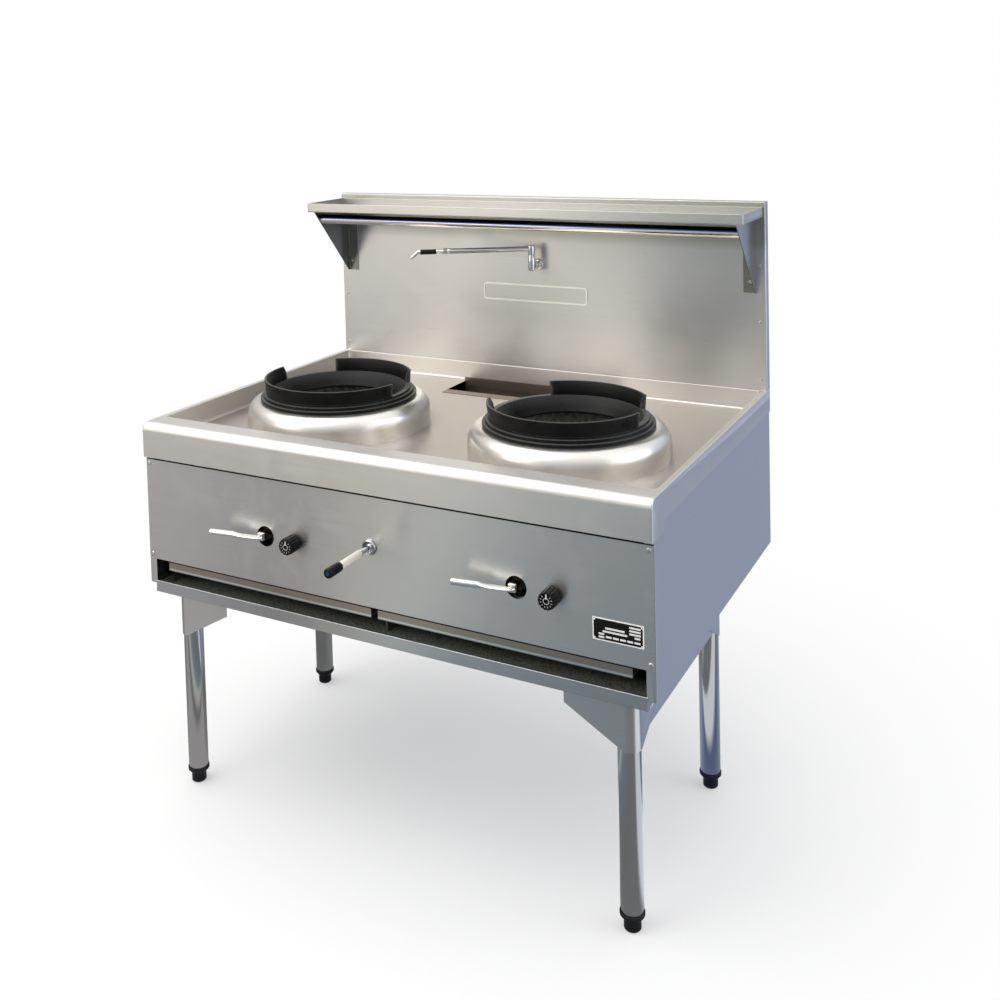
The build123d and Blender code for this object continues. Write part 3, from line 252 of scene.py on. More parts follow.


# where painted light and shade change a sheet's tone: heights, but for the bead
bandPlaces = {
    "bead": splashY - 0.0007,       # the pressed bead stands out further than this
    "underShelf": 1.188,            # the shelf shades what is higher
    "deckFloor": (0.7, 0.797),
    "trayHem": (0.5068, 0.5105),
    "panelShadow": 0.7603,            # painted shadow lies above it, under the deck's front
    "trayShadow": 0.5235,             # and a painted shadow above this one, along the trays' upper edge, under the panel
}
sheetAlongX = sheetSteel("sheetAlongX")
sheetAlongY = sheetSteel("sheetAlongY", **grainY)
shelfSteel = sheetSteel("shelfSteel", ((0.6, 0.6, 0.57), (0.56, 0.56, 0.53), (0.58, 0.58, 0.55)))
splashSteel = sheetSteel("splashSteel")
# painted highlight: the pressed bead is paler than the face around it
shadeBand(splashSteel, "Y", -1.0, bandPlaces["bead"], (0.93, 0.92, 0.87), 0.0002)
shadeBand(splashSteel, "Z", bandPlaces["underShelf"], 2.0, (0.48, 0.48, 0.44), 0.012)
panelSteel = sheetSteel("panelSteel")
# painted shadow: a black line along the panel's top, under the deck's front
shadeBand(panelSteel, "Z", bandPlaces["panelShadow"], 1.0, (0.02, 0.02, 0.02))
deckSteel = sheetSteel("deckSteel", ((0.76, 0.74, 0.71), (0.71, 0.695, 0.67), (0.73, 0.71, 0.685)),
                       smooth=0.32, rough=0.4, wave=0.02, anisotropy=0.6)
# painted shade: the deck floor's upward faces are darker and warmer than the rest of the deck
shadeBand(deckSteel, "Z", *bandPlaces["deckFloor"], (0.56, 0.52, 0.47), 0.001, upward=True)
# tones darker and warmer than the other sheets': painted shade on the trays' front lips
trayFront = sheetSteel("trayFront", ((0.4, 0.355, 0.3), (0.35, 0.31, 0.265), (0.37, 0.33, 0.28)))
# painted reflection: a pale blue-grey strip along the tray's lower hem
shadeBand(trayFront, "Z", *bandPlaces["trayHem"], (0.62, 0.72, 0.74), 0.0003)
# painted shadow: a black line along the trays' upper edge, under the panel
shadeBand(trayFront, "Z", bandPlaces["trayShadow"], 1.0, (0.03, 0.03, 0.03))
bracketSteel = sheetSteel("bracketSteel", ((0.5, 0.52, 0.56), (0.45, 0.47, 0.51), (0.47, 0.49, 0.53)),
                          **grainY)
# painted shade: faces turned downwards and faces turned to the front are darker brown
shadeBand(bracketSteel, "Z", -1.0, -0.3, (0.2, 0.19, 0.17), 0.05, facing=True)
shadeBand(bracketSteel, "Y", -2.0, -0.9, (0.26, 0.25, 0.22), 0.05, facing=True)
tubeSteel = sheetSteel("tubeSteel", ((0.58, 0.57, 0.56), (0.53, 0.52, 0.51), (0.55, 0.55, 0.54)),
                       smooth=0.09, rough=0.14, anisotropy=0.0, wave=0.0, marks=0.03, **grainZ)
dullSteel = sheetSteel("dullSteel", ((0.48, 0.47, 0.45), (0.4, 0.39, 0.375), (0.42, 0.41, 0.4)),
                       smooth=0.38, rough=0.5, anisotropy=0.2)
stainedSteel = sheetSteel("stainedSteel", ((0.34, 0.28, 0.22), (0.24, 0.19, 0.15), (0.3, 0.25, 0.2)),
                          smooth=0.34, rough=0.46, anisotropy=0.2)
# pale tones: a painted highlight on the rail's lower side
railSteel = sheetSteel("railSteel", ((0.9, 0.88, 0.84), (0.84, 0.82, 0.78), (0.88, 0.86, 0.82)),
                       smooth=0.12, rough=0.2, anisotropy=0.2, wave=0.0)
# painted reflection: faces turned upwards go dark blue, then near black, as the shelf's dark underside
# mirrored in the rail
shadeBand(railSteel, "Z", 0.1, 2.0, (0.03, 0.05, 0.2), 0.1, facing=True)
shadeBand(railSteel, "Z", 0.35, 2.0, (0.012, 0.012, 0.016), 0.1, facing=True)

trayLook = {
    "steel": ((0.54, 0.55, 0.56), (0.49, 0.5, 0.51), (0.52, 0.53, 0.54)),
    "floorY": (-0.3345, 0.465),
    "floorZ": (0.4556, 0.46),
    "dark": (0.3, 0.34, 0.3),
    "light": (0.72, 0.77, 0.66),
    "black": (0.01, 0.015, 0.015),
    "shade": (-0.3, -0.235),     # from where to where the film turns black: painted shade under the drip trays
    "metal": 0.1,
    "rough": 0.25,
    "specks": 260.0,
}


def greasyShadedTray():
    # bright outside; behind its front hem the tray's floor has a dull, speckled film, which turns black
    # further back as painted shade under the drip trays
    look = trayLook
    material = sheetSteel("traySteel", look["steel"])
    tree = material.node_tree
    place = objectPlace(tree)
    inside = combine(tree, "MULTIPLY", bandMask(tree, place, "Y", *look["floorY"]),
                     bandMask(tree, place, "Z", *look["floorZ"]))
    specks = noise(tree, place, scale=look["specks"], detail=3.0, roughness=0.7)
    film = mixColours(tree, spread(tree, specks, 0.0, 1.0, 0.42, 0.6), look["dark"], look["light"])
    # painted shade: the film turns black towards the back, under the drip trays
    deep = spread(tree, partsOf(tree, place)["Y"], 0.0, 1.0, *look["shade"])
    film = mixColours(tree, deep, film, look["black"])
    shader = shaderInputs(tree)
    steel, smooth = (shader[key].links[0].from_socket for key in ("Base Color", "Roughness"))
    rough = spread(tree, inside, 0.0, look["rough"], 0.0, 1.0)
    tree.links.new(mixColours(tree, inside, steel, film), shader["Base Color"])
    tree.links.new(spread(tree, inside, 1.0, look["metal"], 0.0, 1.0), shader["Metallic"])
    tree.links.new(combine(tree, "ADD", smooth, rough), shader["Roughness"])
    return material


traySteel = greasyShadedTray()


def spunSteel(name, look, centre):
    material, tree = newMaterial(name)
    grain = placeGroup(tree, "spunGrain", {"Centre": centre, "Rings": look["rings"], "Depth": look["depth"]})
    marks = placeGroup(tree, "handMarks", {"Amount": look["marks"], "Size": 14.0})["Mask"]
    tone = mixColours(tree, grain["Streaks"], look["dark"], look["light"])
    rough = spread(tree, grain["Streaks"], look["smooth"], look["rough"])
    ring = addNode(tree, "ShaderNodeTangent", direction_type="RADIAL", axis="Z")
    setShader(tree, {
        "Base Color": mixColours(tree, marks, tone, look["stain"]),
        "Roughness": combine(tree, "ADD", rough, marks),
        "Normal": grain["Normal"],
        "Metallic": 1.0,
        "Anisotropic": look["anisotropy"],
        "Anisotropic Rotation": 0.25,
        "Tangent": ring.outputs[0],
    })
    return material


spunLook = {
    "light": (0.92, 0.9, 0.85),
    "dark": (0.84, 0.82, 0.77),
    "stain": (0.7, 0.64, 0.57),
    "smooth": 0.26,
    "rough": 0.34,
    "marks": 0.1,
    "depth": 0.05,
    "rings": 700.0,
    "anisotropy": 0.5,
}


def polishedMetal(name, bright, dull, smooth, rough, marks):
    material, tree = newMaterial(name)
    mask = placeGroup(tree, "handMarks", {"Amount": marks, "Size": 45.0})["Mask"]
    setShader(tree, {
        "Base Color": mixColours(tree, mask, bright, dull),
        "Roughness": spread(tree, mask, smooth, rough, 0.0, 0.4),
        "Metallic": 1.0,
    })
    return material


chrome = polishedMetal("chrome", (0.86, 0.86, 0.87), (0.7, 0.69, 0.68), 0.06, 0.2, 0.5)
# painted shade: a darker copy of the chrome, for the water valve's collar and body
darkChrome = polishedMetal("darkChrome", (0.55, 0.56, 0.58), (0.3, 0.3, 0.31), 0.06, 0.2, 0.5)
leverSteel = polishedMetal("leverSteel", (0.8, 0.79, 0.77), (0.62, 0.6, 0.57), 0.12, 0.3, 0.6)
screwSteel = polishedMetal("screwSteel", (0.7, 0.69, 0.67), (0.5, 0.49, 0.47), 0.2, 0.4, 0.6)
pipeSteel = polishedMetal("pipeSteel", (0.5, 0.5, 0.5), (0.36, 0.34, 0.32), 0.35, 0.6, 0.9)
oldBrass = polishedMetal("oldBrass", (0.04, 0.034, 0.025), (0.02, 0.017, 0.013), 0.5, 0.7, 0.9)
brass = polishedMetal("brass", (0.75, 0.56, 0.27), (0.5, 0.34, 0.15), 0.22, 0.45, 0.8)


def grainedSkin(name, tones, smooth, rough, size=900.0, depth=0.03, sheen=0.5, bare=False, **rubbing):
    # a casting or a moulding in dark, light and worn tones, the worn one at its outer edges
    material, tree = newMaterial(name)
    dark, light, worn = tones
    skin = placeGroup(tree, "castSkin", {"Size": size, "Depth": depth})
    rubbed = placeGroup(tree, "rubbedEdges", rubbing or {"Size": 160.0})["Mask"]
    setShader(tree, {
        "Base Color": mixColours(tree, rubbed, mixColours(tree, skin["Tone"], dark, light), worn),
        "Roughness": spread(tree, skin["Tone"], smooth, rough),
        "Normal": skin["Normal"],
        "Metallic": rubbed if bare else 0.0,
        "Specular IOR Level": sheen,
    })
    return material


blackCasting = grainedSkin(
    "blackCasting", ((0.0008, 0.001, 0.0012), (0.012, 0.012, 0.012), (0.6, 0.62, 0.6)),
    0.22, 0.45, size=420.0, depth=0.8, sheen=0.12, bare=True, Start=0.53, End=0.62)
# painted light: the upward faces are lighter grey, as if lit from above
shadeBand(blackCasting, "Z", 0.85, 2.0, (0.075, 0.078, 0.075), 0.12, facing=True)
blackPlastic = grainedSkin(
    "blackPlastic", ((0.001, 0.001, 0.0015), (0.003, 0.003, 0.004), (0.02, 0.02, 0.024)),
    0.2, 0.34, size=1500.0, depth=0.08, sheen=0.25)
blackNylon = grainedSkin(
    "blackNylon", ((0.004, 0.004, 0.006), (0.01, 0.01, 0.013), (0.05, 0.05, 0.055)),
    0.4, 0.55, size=1200.0, depth=0.15, sheen=0.25)
whitePrint = grainedSkin(
    "whitePrint", ((0.7, 0.7, 0.68), (0.82, 0.82, 0.8), (0.6, 0.6, 0.58)), 0.45, 0.6)
paleSleeve = grainedSkin(
    "paleSleeve", ((0.74, 0.71, 0.63), (0.83, 0.8, 0.72), (0.7, 0.67, 0.6)), 0.3, 0.42, size=800.0)
blueDot = grainedSkin(
    "blueDot", ((0.01, 0.09, 0.5), (0.02, 0.14, 0.62), (0.1, 0.2, 0.6)), 0.3, 0.4)
blackField = grainedSkin(
    "blackField", ((0.001, 0.001, 0.001), (0.004, 0.004, 0.004), (0.01, 0.01, 0.01)), 0.35, 0.5, sheen=0.15)
aluminium = grainedSkin(
    "aluminium", ((0.72, 0.72, 0.68), (0.82, 0.82, 0.78), (0.9, 0.9, 0.86)), 0.4, 0.5)
print("materials done")


# modelling steps that the pieces share
def startEditing():
    bpy.ops.object.mode_set(mode="EDIT")


def stopEditing():
    bpy.ops.object.mode_set(mode="OBJECT")


def selectMesh():
    bpy.ops.mesh.select_all(action="SELECT")


def finishMesh():
    # every face looks outwards
    selectMesh()
    bpy.ops.mesh.normals_make_consistent(inside=False)
    stopEditing()


def deselectAll():
    if bpy.context.object and bpy.context.object.mode != "OBJECT":
        stopEditing()
    bpy.ops.object.select_all(action="DESELECT")


def makeActive(piece):
    deselectAll()
    piece.select_set(True)
    bpy.context.view_layer.objects.active = piece


def placePiece(piece, place=(0, 0, 0), turn=(0, 0, 0)):
    # turn is in degrees; the place then goes into the mesh
    makeActive(piece)
    piece.rotation_euler = [math.radians(angle) for angle in turn]
    piece.location = place
    bpy.ops.object.transform_apply(location=True, rotation=True, scale=True)


def smoothByAngle(piece, angle):
    makeActive(piece)
    bpy.ops.object.shade_smooth_by_angle(angle=math.radians(angle))


def roundEdges(piece, width, segments=3, angle=30, weighted=False):
    # soft edges, as a real cut or fold has
    makeActive(piece)
    bevel = piece.modifiers.new("edges", "BEVEL")
    bevel.width = width
    bevel.segments = segments
    bevel.limit_method = "ANGLE"
    bevel.angle_limit = math.radians(angle)
    bpy.ops.object.modifier_apply(modifier=bevel.name)
    bpy.ops.object.shade_smooth_by_angle(angle=math.radians(40))
    if weighted:
        normals = piece.modifiers.new("normals", "WEIGHTED_NORMAL")
        normals.keep_sharp = True
        bpy.ops.object.modifier_apply(modifier=normals.name)


def dressPiece(piece, body, slot, material, *replaced):
    piece.data.name = piece.name
    piece.data.materials.clear()
    piece.data.materials.append(material)
    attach(piece, body)
    if replaced:
        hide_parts(*replaced)


def joinPieces(name, parts):
    deselectAll()
    for part in parts:
        part.select_set(True)
    bpy.context.view_layer.objects.active = parts[0]
    bpy.ops.object.join()
    parts[0].name = name
    return parts[0]


def copyPiece(source, name, place=(0, 0, 0), turn=(0, 0, 0)):
    piece = source.copy()
    piece.data = source.data.copy()
    piece.name = name
    bpy.context.scene.collection.objects.link(piece)
    placePiece(piece, place, turn)
    return piece


def startPoint(name, at):
    # a single point to pull an outline from
    deselectAll()
    bpy.ops.mesh.primitive_plane_add(size=0.01)
    piece = bpy.context.object
    piece.name = name
    startEditing()
    bpy.ops.mesh.select_mode(type="VERT")
    selectMesh()
    bpy.ops.mesh.merge(type="CENTER")
    bpy.ops.transform.translate(value=(at[0], 0, at[1]))
    return piece


def latheShape(name, profile, steps, sweep=360, start=0):
    # profile holds (distance from the axis, height along it); the axis is Z through the origin
    piece = startPoint(name, profile[0])
    for before, after in zip(profile, profile[1:]):
        bpy.ops.mesh.extrude_region_move(
            TRANSFORM_OT_translate={"value": (after[0] - before[0], 0, after[1] - before[1])})
    selectMesh()
    bpy.ops.mesh.spin(steps=steps, angle=-math.radians(sweep), center=(0, 0, 0), axis=(0, 0, 1))
    selectMesh()
    bpy.ops.mesh.remove_doubles(threshold=0.00002)
    if sweep < 360:
        selectMesh()
        bpy.ops.mesh.fill_holes(sides=0)
    finishMesh()
    if start:
        placePiece(piece, turn=(0, 0, start))
    return piece


def arcPoints(centre, radiusOut, radiusUp, first, last, count):
    # points on an arc of the outline, ends included
    return [(centre[0] + radiusOut * math.cos(math.radians(first + (last - first) * step / count)),
             centre[1] + radiusUp * math.sin(math.radians(first + (last - first) * step / count)))
            for step in range(count + 1)]


def ringProfile(inner, outer, low, high):
    # a plain ring's outline, or a plug's where inner is nought
    outline = [(inner, low), (outer, low), (outer, high), (inner, high)]
    return outline + outline[:1] if inner else outline


def turnedPart(name, profile, steps, edge, place=(0, 0, 0), turn=(0, 0, 0), segments=2):
    # a turned shape with soft edges, in its place
    piece = latheShape(name, profile, steps)
    roundEdges(piece, edge, segments)
    placePiece(piece, place, turn)
    return piece


def foldedCopy(name, source, width):
    # a CAD sheet, merged and given the small radii of its folds and cut edges
    piece = bpy.data.objects.new(name, nodes[source].data.copy())
    bpy.context.scene.collection.objects.link(piece)
    makeActive(piece)
    startEditing()
    selectMesh()
    bpy.ops.mesh.remove_doubles(threshold=0.00002)
    bpy.ops.mesh.dissolve_limited(angle_limit=math.radians(0.5))
    stopEditing()
    roundEdges(piece, width, 2, angle=38, weighted=True)
    return piece


def plainBox(name, low, high):
    deselectAll()
    middle = [(a + b) / 2 for a, b in zip(low, high)]
    bpy.ops.mesh.primitive_cube_add(size=1, location=middle)
    piece = bpy.context.object
    piece.name = name
    piece.scale = [b - a for a, b in zip(low, high)]
    bpy.ops.object.transform_apply(location=True, rotation=True, scale=True)
    return piece


# folded sheets keep the CAD shape and get their small bend radii
sheetPieces = {
    "deck": ("deckSheet", 0.0004, deckSteel),
    "splash_skin": ("splashSkin", 0.0004, splashSteel),
    "splash_back_cover": ("splashCover", 0.0003, sheetAlongX),
    "shelf": ("plateShelf", 0.0005, shelfSteel),
    "bracket_left": ("bracketLeft", 0.0005, bracketSteel),
    "bracket_right": ("bracketRight", 0.0005, bracketSteel),
    "front_panel": ("frontPanel", 0.0004, panelSteel),
    "side_panel_left": ("sidePanelLeft", 0.0004, sheetAlongY),
    "side_panel_right": ("sidePanelRight", 0.0004, sheetAlongY),
    "back_panel": ("backPanel", 0.0003, sheetAlongX),
    "bottom_tray": ("bottomTray", 0.0004, traySteel),
    "side_rails": ("sideRails", 0.0006, sheetAlongY),
    "gussets": ("cornerGussets", 0.0005, sheetAlongX),
    "tray_runners": ("trayRunners", 0.0004, dullSteel),
    "burner_beams": ("burnerBeams", 0.0005, dullSteel),
    "drain_well": ("drainWell", 0.0004, stainedSteel),
}
for node, (name, width, material) in sheetPieces.items():
    dressPiece(foldedCopy(name, node, width), "range", "stainless", material, node)
for side in sides:
    tray = foldedCopy("dripTray" + side.capitalize(), "drip_tray_" + side, 0.0004)
    dressPiece(tray, "drip_tray_" + side, "stainless", trayFront, "drip_tray_" + side)
print("sheets done")


# domes and wok rings are turned shapes
domeShape = {
    "reach": 0.2175,      # outer radius at the deck
    "shoulder": 0.19,     # radius where the shoulder meets the flat land
    "mouth": 0.176,
    "foot": 0.795,
    "wall": 0.028,        # height of the upright wall
    "top": 0.858,
    "lip": 0.008,
    "sheet": 0.0015,
}


def makeDome(side):
    shape = domeShape
    sheet, mouth, top = shape["sheet"], shape["mouth"], shape["top"]
    spring = (shape["shoulder"], shape["foot"] + shape["wall"])
    out = shape["reach"] - spring[0]
    rise = top - spring[1]
    profile = [(shape["reach"], shape["foot"])]
    profile += arcPoints(spring, out, rise, 0, 90, 18)
    profile += arcPoints((mouth + 0.002, top - 0.002), 0.002, 0.002, 90, 180, 4)
    lip = top - shape["lip"]
    profile += [(mouth, lip), (mouth + sheet, lip), (mouth + sheet, top - sheet)]
    profile += arcPoints(spring, out - sheet, rise - sheet, 90, 0, 12)
    profile += [(shape["reach"] - sheet, shape["foot"]), profile[0]]
    dome = latheShape("dome" + side.capitalize(), profile, 128)
    placePiece(dome, burnerSpots[side])
    smoothByAngle(dome, 50)
    finish = spunSteel("spun" + side.capitalize(), spunLook, burnerSpots[side])
    dressPiece(dome, "range", "stainless", finish, "dome_" + side)


for side in sides:
    makeDome(side)

ringShape = {
    "flange": (0.185, 0.858, 0.866),   # radius, underside, top
    "step": (0.178, 0.873),
    "body": (0.172, 0.878),
    "inside": 0.160,
    "cone": (0.127, 0.845),            # the funnel's inner edge
    "coneThick": 0.009,
    "spigot": (0.170, 0.852),
    "wallRise": 0.030,
    "wallFlare": 0.003,
    "wallTop": 0.005,
    "wallBevel": 0.012,
    # where each raised wall starts, and how far it goes
    "walls": {"left": ((38, 89), (176, 174)), "right": ((38, 89), (195, 155))},
}


def makeRing(side):
    shape = ringShape
    body, top = shape["body"]
    inside, flare = shape["inside"], shape["wallFlare"]
    flange, under, over = shape["flange"]
    step, ledge = shape["step"]
    cone, mouth = shape["cone"]
    ring = latheShape("ringBody", [
        (cone, mouth), (cone + shape["coneThick"], mouth), shape["spigot"], (shape["spigot"][0], under),
        (flange, under), (flange, over), (step, over), (step, ledge), (body, ledge), (body, top),
        (inside, top), (cone, mouth + shape["coneThick"] / 2), (cone, mouth)], 128)
    roundEdges(ring, 0.0014, 3)
    crown = top + shape["wallRise"]
    wall = [
        (inside, top - 0.001), (body, top - 0.001), (body + flare, crown),
        (body + flare - shape["wallTop"], crown), (inside + flare, crown - shape["wallBevel"]),
        (inside, top - 0.001),
    ]
    parts = [ring]
    for start, sweep in shape["walls"][side]:
        part = latheShape("ringWall", wall, round(sweep / 3), sweep, start)
        roundEdges(part, 0.0016, 3)
        parts.append(part)
    ring = joinPieces("wokRing" + side.capitalize(), parts)
    placePiece(ring, burnerSpots[side])
    node = "wok_ring_" + side
    dressPiece(ring, node, "cast_iron", blackCasting, node)


for side in sides:
    makeRing(side)
print("domes and rings done")


# one leg and one foot, copied to the four corners
legShape = {"radius": 0.02225, "wall": 0.0015, "low": 0.0363, "high": 0.455}
footShape = {
    "base": 0.0165, "flange": 0.024, "flangeLow": 0.028, "height": 0.036, "plug": 0.02045, "plugTop": 0.076,
}
legSpots = {"x": 0.5265, "front": -0.2925, "back": 0.214}


def makeLeg():
    radius, wall, low, high = legShape.values()
    return turnedPart("leg", ringProfile(radius - wall, radius, low, high), 64, 0.0004)


def makeFoot():
    base, flange, low, high, plug, top = footShape.values()
    return turnedPart("foot", [
        (0, 0), (base - 0.003, 0), (base, 0.003), (base, 0.02), (flange - 0.001, low), (flange, low + 0.001),
        (flange, high), (plug, high), (plug, top), (0, top)], 48, 0.0008, segments=3)


leg = makeLeg()
foot = makeFoot()
for row in rows:
    for side, sign in sides.items():
        spot = (sign * legSpots["x"], legSpots[row], 0)
        tail = row.capitalize() + side.capitalize()
        dressPiece(copyPiece(leg, "leg" + tail, spot), "range", "stainless", tubeSteel, f"leg_{row}_{side}")
        body = f"foot_{row}_{side}"
        dressPiece(copyPiece(foot, "foot" + tail, spot), body, "foot_plastic", blackNylon, body)
bpy.data.objects.remove(leg)
bpy.data.objects.remove(foot)

railShape = {"radius": 0.0127, "wall": 0.0015, "half": 0.575, "place": (0, 0.3405, 1.236)}
radius, wall, half, place = railShape.values()
rail = latheShape("hangingRail", ringProfile(radius - wall, radius, -half, half), 48)
placePiece(rail, place, (0, 90, 0))
smoothByAngle(rail, 40)
dressPiece(rail, "range", "stainless", railSteel, "rail_tube")
print("legs and rail done")


# screws
screwShape = {"head": 0.0035, "height": 0.002, "cross": 0.0028, "slot": 0.0008, "deep": 0.0009}


def makeScrew(scale):
    # a domed head with a cross recess; it looks along +Z
    shape = screwShape
    radius = shape["head"] * scale
    reach = shape["cross"] * scale / 1.2
    half = shape["slot"] / 2 * scale
    head = latheShape("screwHead", [
        (0, 0), (radius, 0), (radius, 0.0006), (radius * 0.85, shape["height"] * 0.75),
        (radius * 0.5, shape["height"] * 0.97), (0, shape["height"])], 24)
    smoothByAngle(head, 40)
    for turn in (0, 90):
        blade = plainBox("blade", (-reach, -half, shape["height"] - shape["deep"]),
                         (reach, half, shape["height"] + 0.001))
        placePiece(blade, turn=(0, 0, turn))
        makeActive(head)
        cut = head.modifiers.new("cross", "BOOLEAN")
        cut.object = blade
        cut.operation = "DIFFERENCE"
        cut.solver = "EXACT"
        bpy.ops.object.modifier_apply(modifier=cut.name)
        bpy.data.objects.remove(blade)
    return head


def setScrews(name, scale, x, heights, y, replaced):
    # the same heights on both sides, each cross turned a little further
    model = makeScrew(scale)
    places = [(sign * x, y, z) for sign in sides.values() for z in heights]
    parts = [copyPiece(model, "screw", place, (90, 20 * index, 0)) for index, place in enumerate(places)]
    bpy.data.objects.remove(model)
    dressPiece(joinPieces(name, parts), "range", "fasteners", screwSteel, replaced)


setScrews("splashScrews", 1.0, 0.586, (0.8702, 1.0088, 1.1429), splashY, "splash_screws")
setScrews("panelScrews", 1.43, 0.59, (0.542, 0.751), frontY, "panel_screws")
bolts = foldedCopy("bracketBolts", "bracket_bolts", 0.0005)
dressPiece(bolts, "range", "fasteners", screwSteel, "bracket_bolts")
print("screws done")


# the tap over the deck
tapShape = {
    "barrelX": 0.012, "barrelY": 0.4305, "height": 1.120,
    "barrel": 0.009, "foot": 1.108, "swivel": 1.150, "head": 1.176, "spoutZ": 1.166, "swing": 212,
    "arm": 0.292,         # from the barrel's axis to the bend
    "nozzleTilt": 130,    # from straight up
}


def makeTap():
    shape = tapShape
    x, y, radius = shape["barrelX"], shape["barrelY"], shape["barrel"]
    foot, swivel = shape["foot"], shape["swivel"]
    flange = turnedPart("flange", [
        (0, 0), (0.015, 0), (0.015, 0.0015), (0.0138, 0.003), (0.0115, 0.004), (0.0085, 0.0045),
        (0.0072, 0.007), (0.007, 0.012), (0.007, 0.036), (0, 0.036)],
        48, 0.0004, (x, splashY, shape["height"]), (90, 0, 0))
    barrel = turnedPart("barrel", [
        (0, foot), (radius - 0.002, foot), (radius, foot + 0.002), (radius, swivel - 0.003),
        (radius - 0.0008, swivel - 0.0022), (radius - 0.0008, swivel), (0, swivel)],
        48, 0.0004, (x, y, 0))
    nut = turnedPart("nut", ringProfile(0.0062, 0.0105, 0, 0.009), 6, 0.0006,
                     (x, splashY - 0.013, shape["height"]), (90, 0, 0))
    dressPiece(joinPieces("tapBody", [flange, barrel, nut]), "range", "chrome", chrome, "tap_body")


def makeSpout():
    shape = tapShape
    x, y, z = shape["barrelX"], shape["barrelY"], shape["spoutZ"]
    along = (0, 90, shape["swing"])
    radius, low, top = shape["barrel"], shape["swivel"] + 0.0003, shape["head"]
    head = turnedPart("head", [
        (0, low), (radius, low), (radius, top - 0.002), (radius - 0.0022, top), (0, top)],
        48, 0.0005, (x, y, 0), segments=3)
    arm = turnedPart("arm", [
        (0, 0.003), (0.0068, 0.003), (0.0068, 0.206), (0.0076, 0.208), (0.0076, 0.2155), (0.0062, 0.2165),
        (0.0062, 0.2285), (0.0072, 0.2295), (0.0072, 0.2325), (0.005, 0.2345), (0.005, shape["arm"]),
        (0, shape["arm"])], 40, 0.0004, (x, y, z), along)
    nut = turnedPart("union", ringProfile(0.0055, 0.009, 0.2168, 0.2282), 6, 0.0007, (x, y, z), along)
    ball = [(0, -0.005)] + arcPoints((0, 0), 0.005, 0.005, -80, 80, 10) + [(0, 0.005)]
    bend = latheShape("bend", ball, 24)
    turn = math.radians(shape["swing"])
    elbow = (x + shape["arm"] * math.cos(turn), y + shape["arm"] * math.sin(turn), z)
    placePiece(bend, elbow)
    makeActive(bend)
    bpy.ops.object.shade_smooth()
    nozzle = turnedPart("nozzle", [
        (0.0042, 0), (0.0042, 0.02), (0.0036, 0.0236), (0.003, 0.0236), (0.003, 0.004), (0.001, 0.004),
        (0.001, 0), (0.0042, 0)], 32, 0.0003, elbow, (0, shape["nozzleTilt"], shape["swing"]))
    spout = joinPieces("tapSpout", [head, arm, nut, bend, nozzle])
    dressPiece(spout, "tap_spout", "chrome", chrome, "tap_spout")
    ribs = [(0.0052, 0.245), (0.0061, 0.245)]
    for step in range(9):
        start = 0.2465 + step * 0.0042
        ribs += [(0.0065, start), (0.0065, start + 0.003), (0.0061, start + 0.0034), (0.0061, start + 0.004)]
    ribs += [(0.0061, 0.286), (0.0052, 0.286), (0.0052, 0.245)]
    grip = latheShape("tapGrip", ribs, 40)
    smoothByAngle(grip, 40)
    placePiece(grip, (x, y, z), along)
    dressPiece(grip, "tap_spout", "black_plastic", blackPlastic, "tap_grip")


makeTap()
makeSpout()
print("tap done")


# gas levers on the front panel
leverShape = {
    "x": {"left": -0.265, "right": 0.327},
    "z": 0.640,
    "tip": (-0.118, -0.040),      # from the spindle's axis: across, and from the panel
    "kink": (-0.042, -0.028),
    "radius": 0.0065,
    "strap": (0.018, 0.004),
    "flat": 0.022,                # length over which the round handle flattens
    "hub": 0.016,
    "hubFront": 0.020,
}


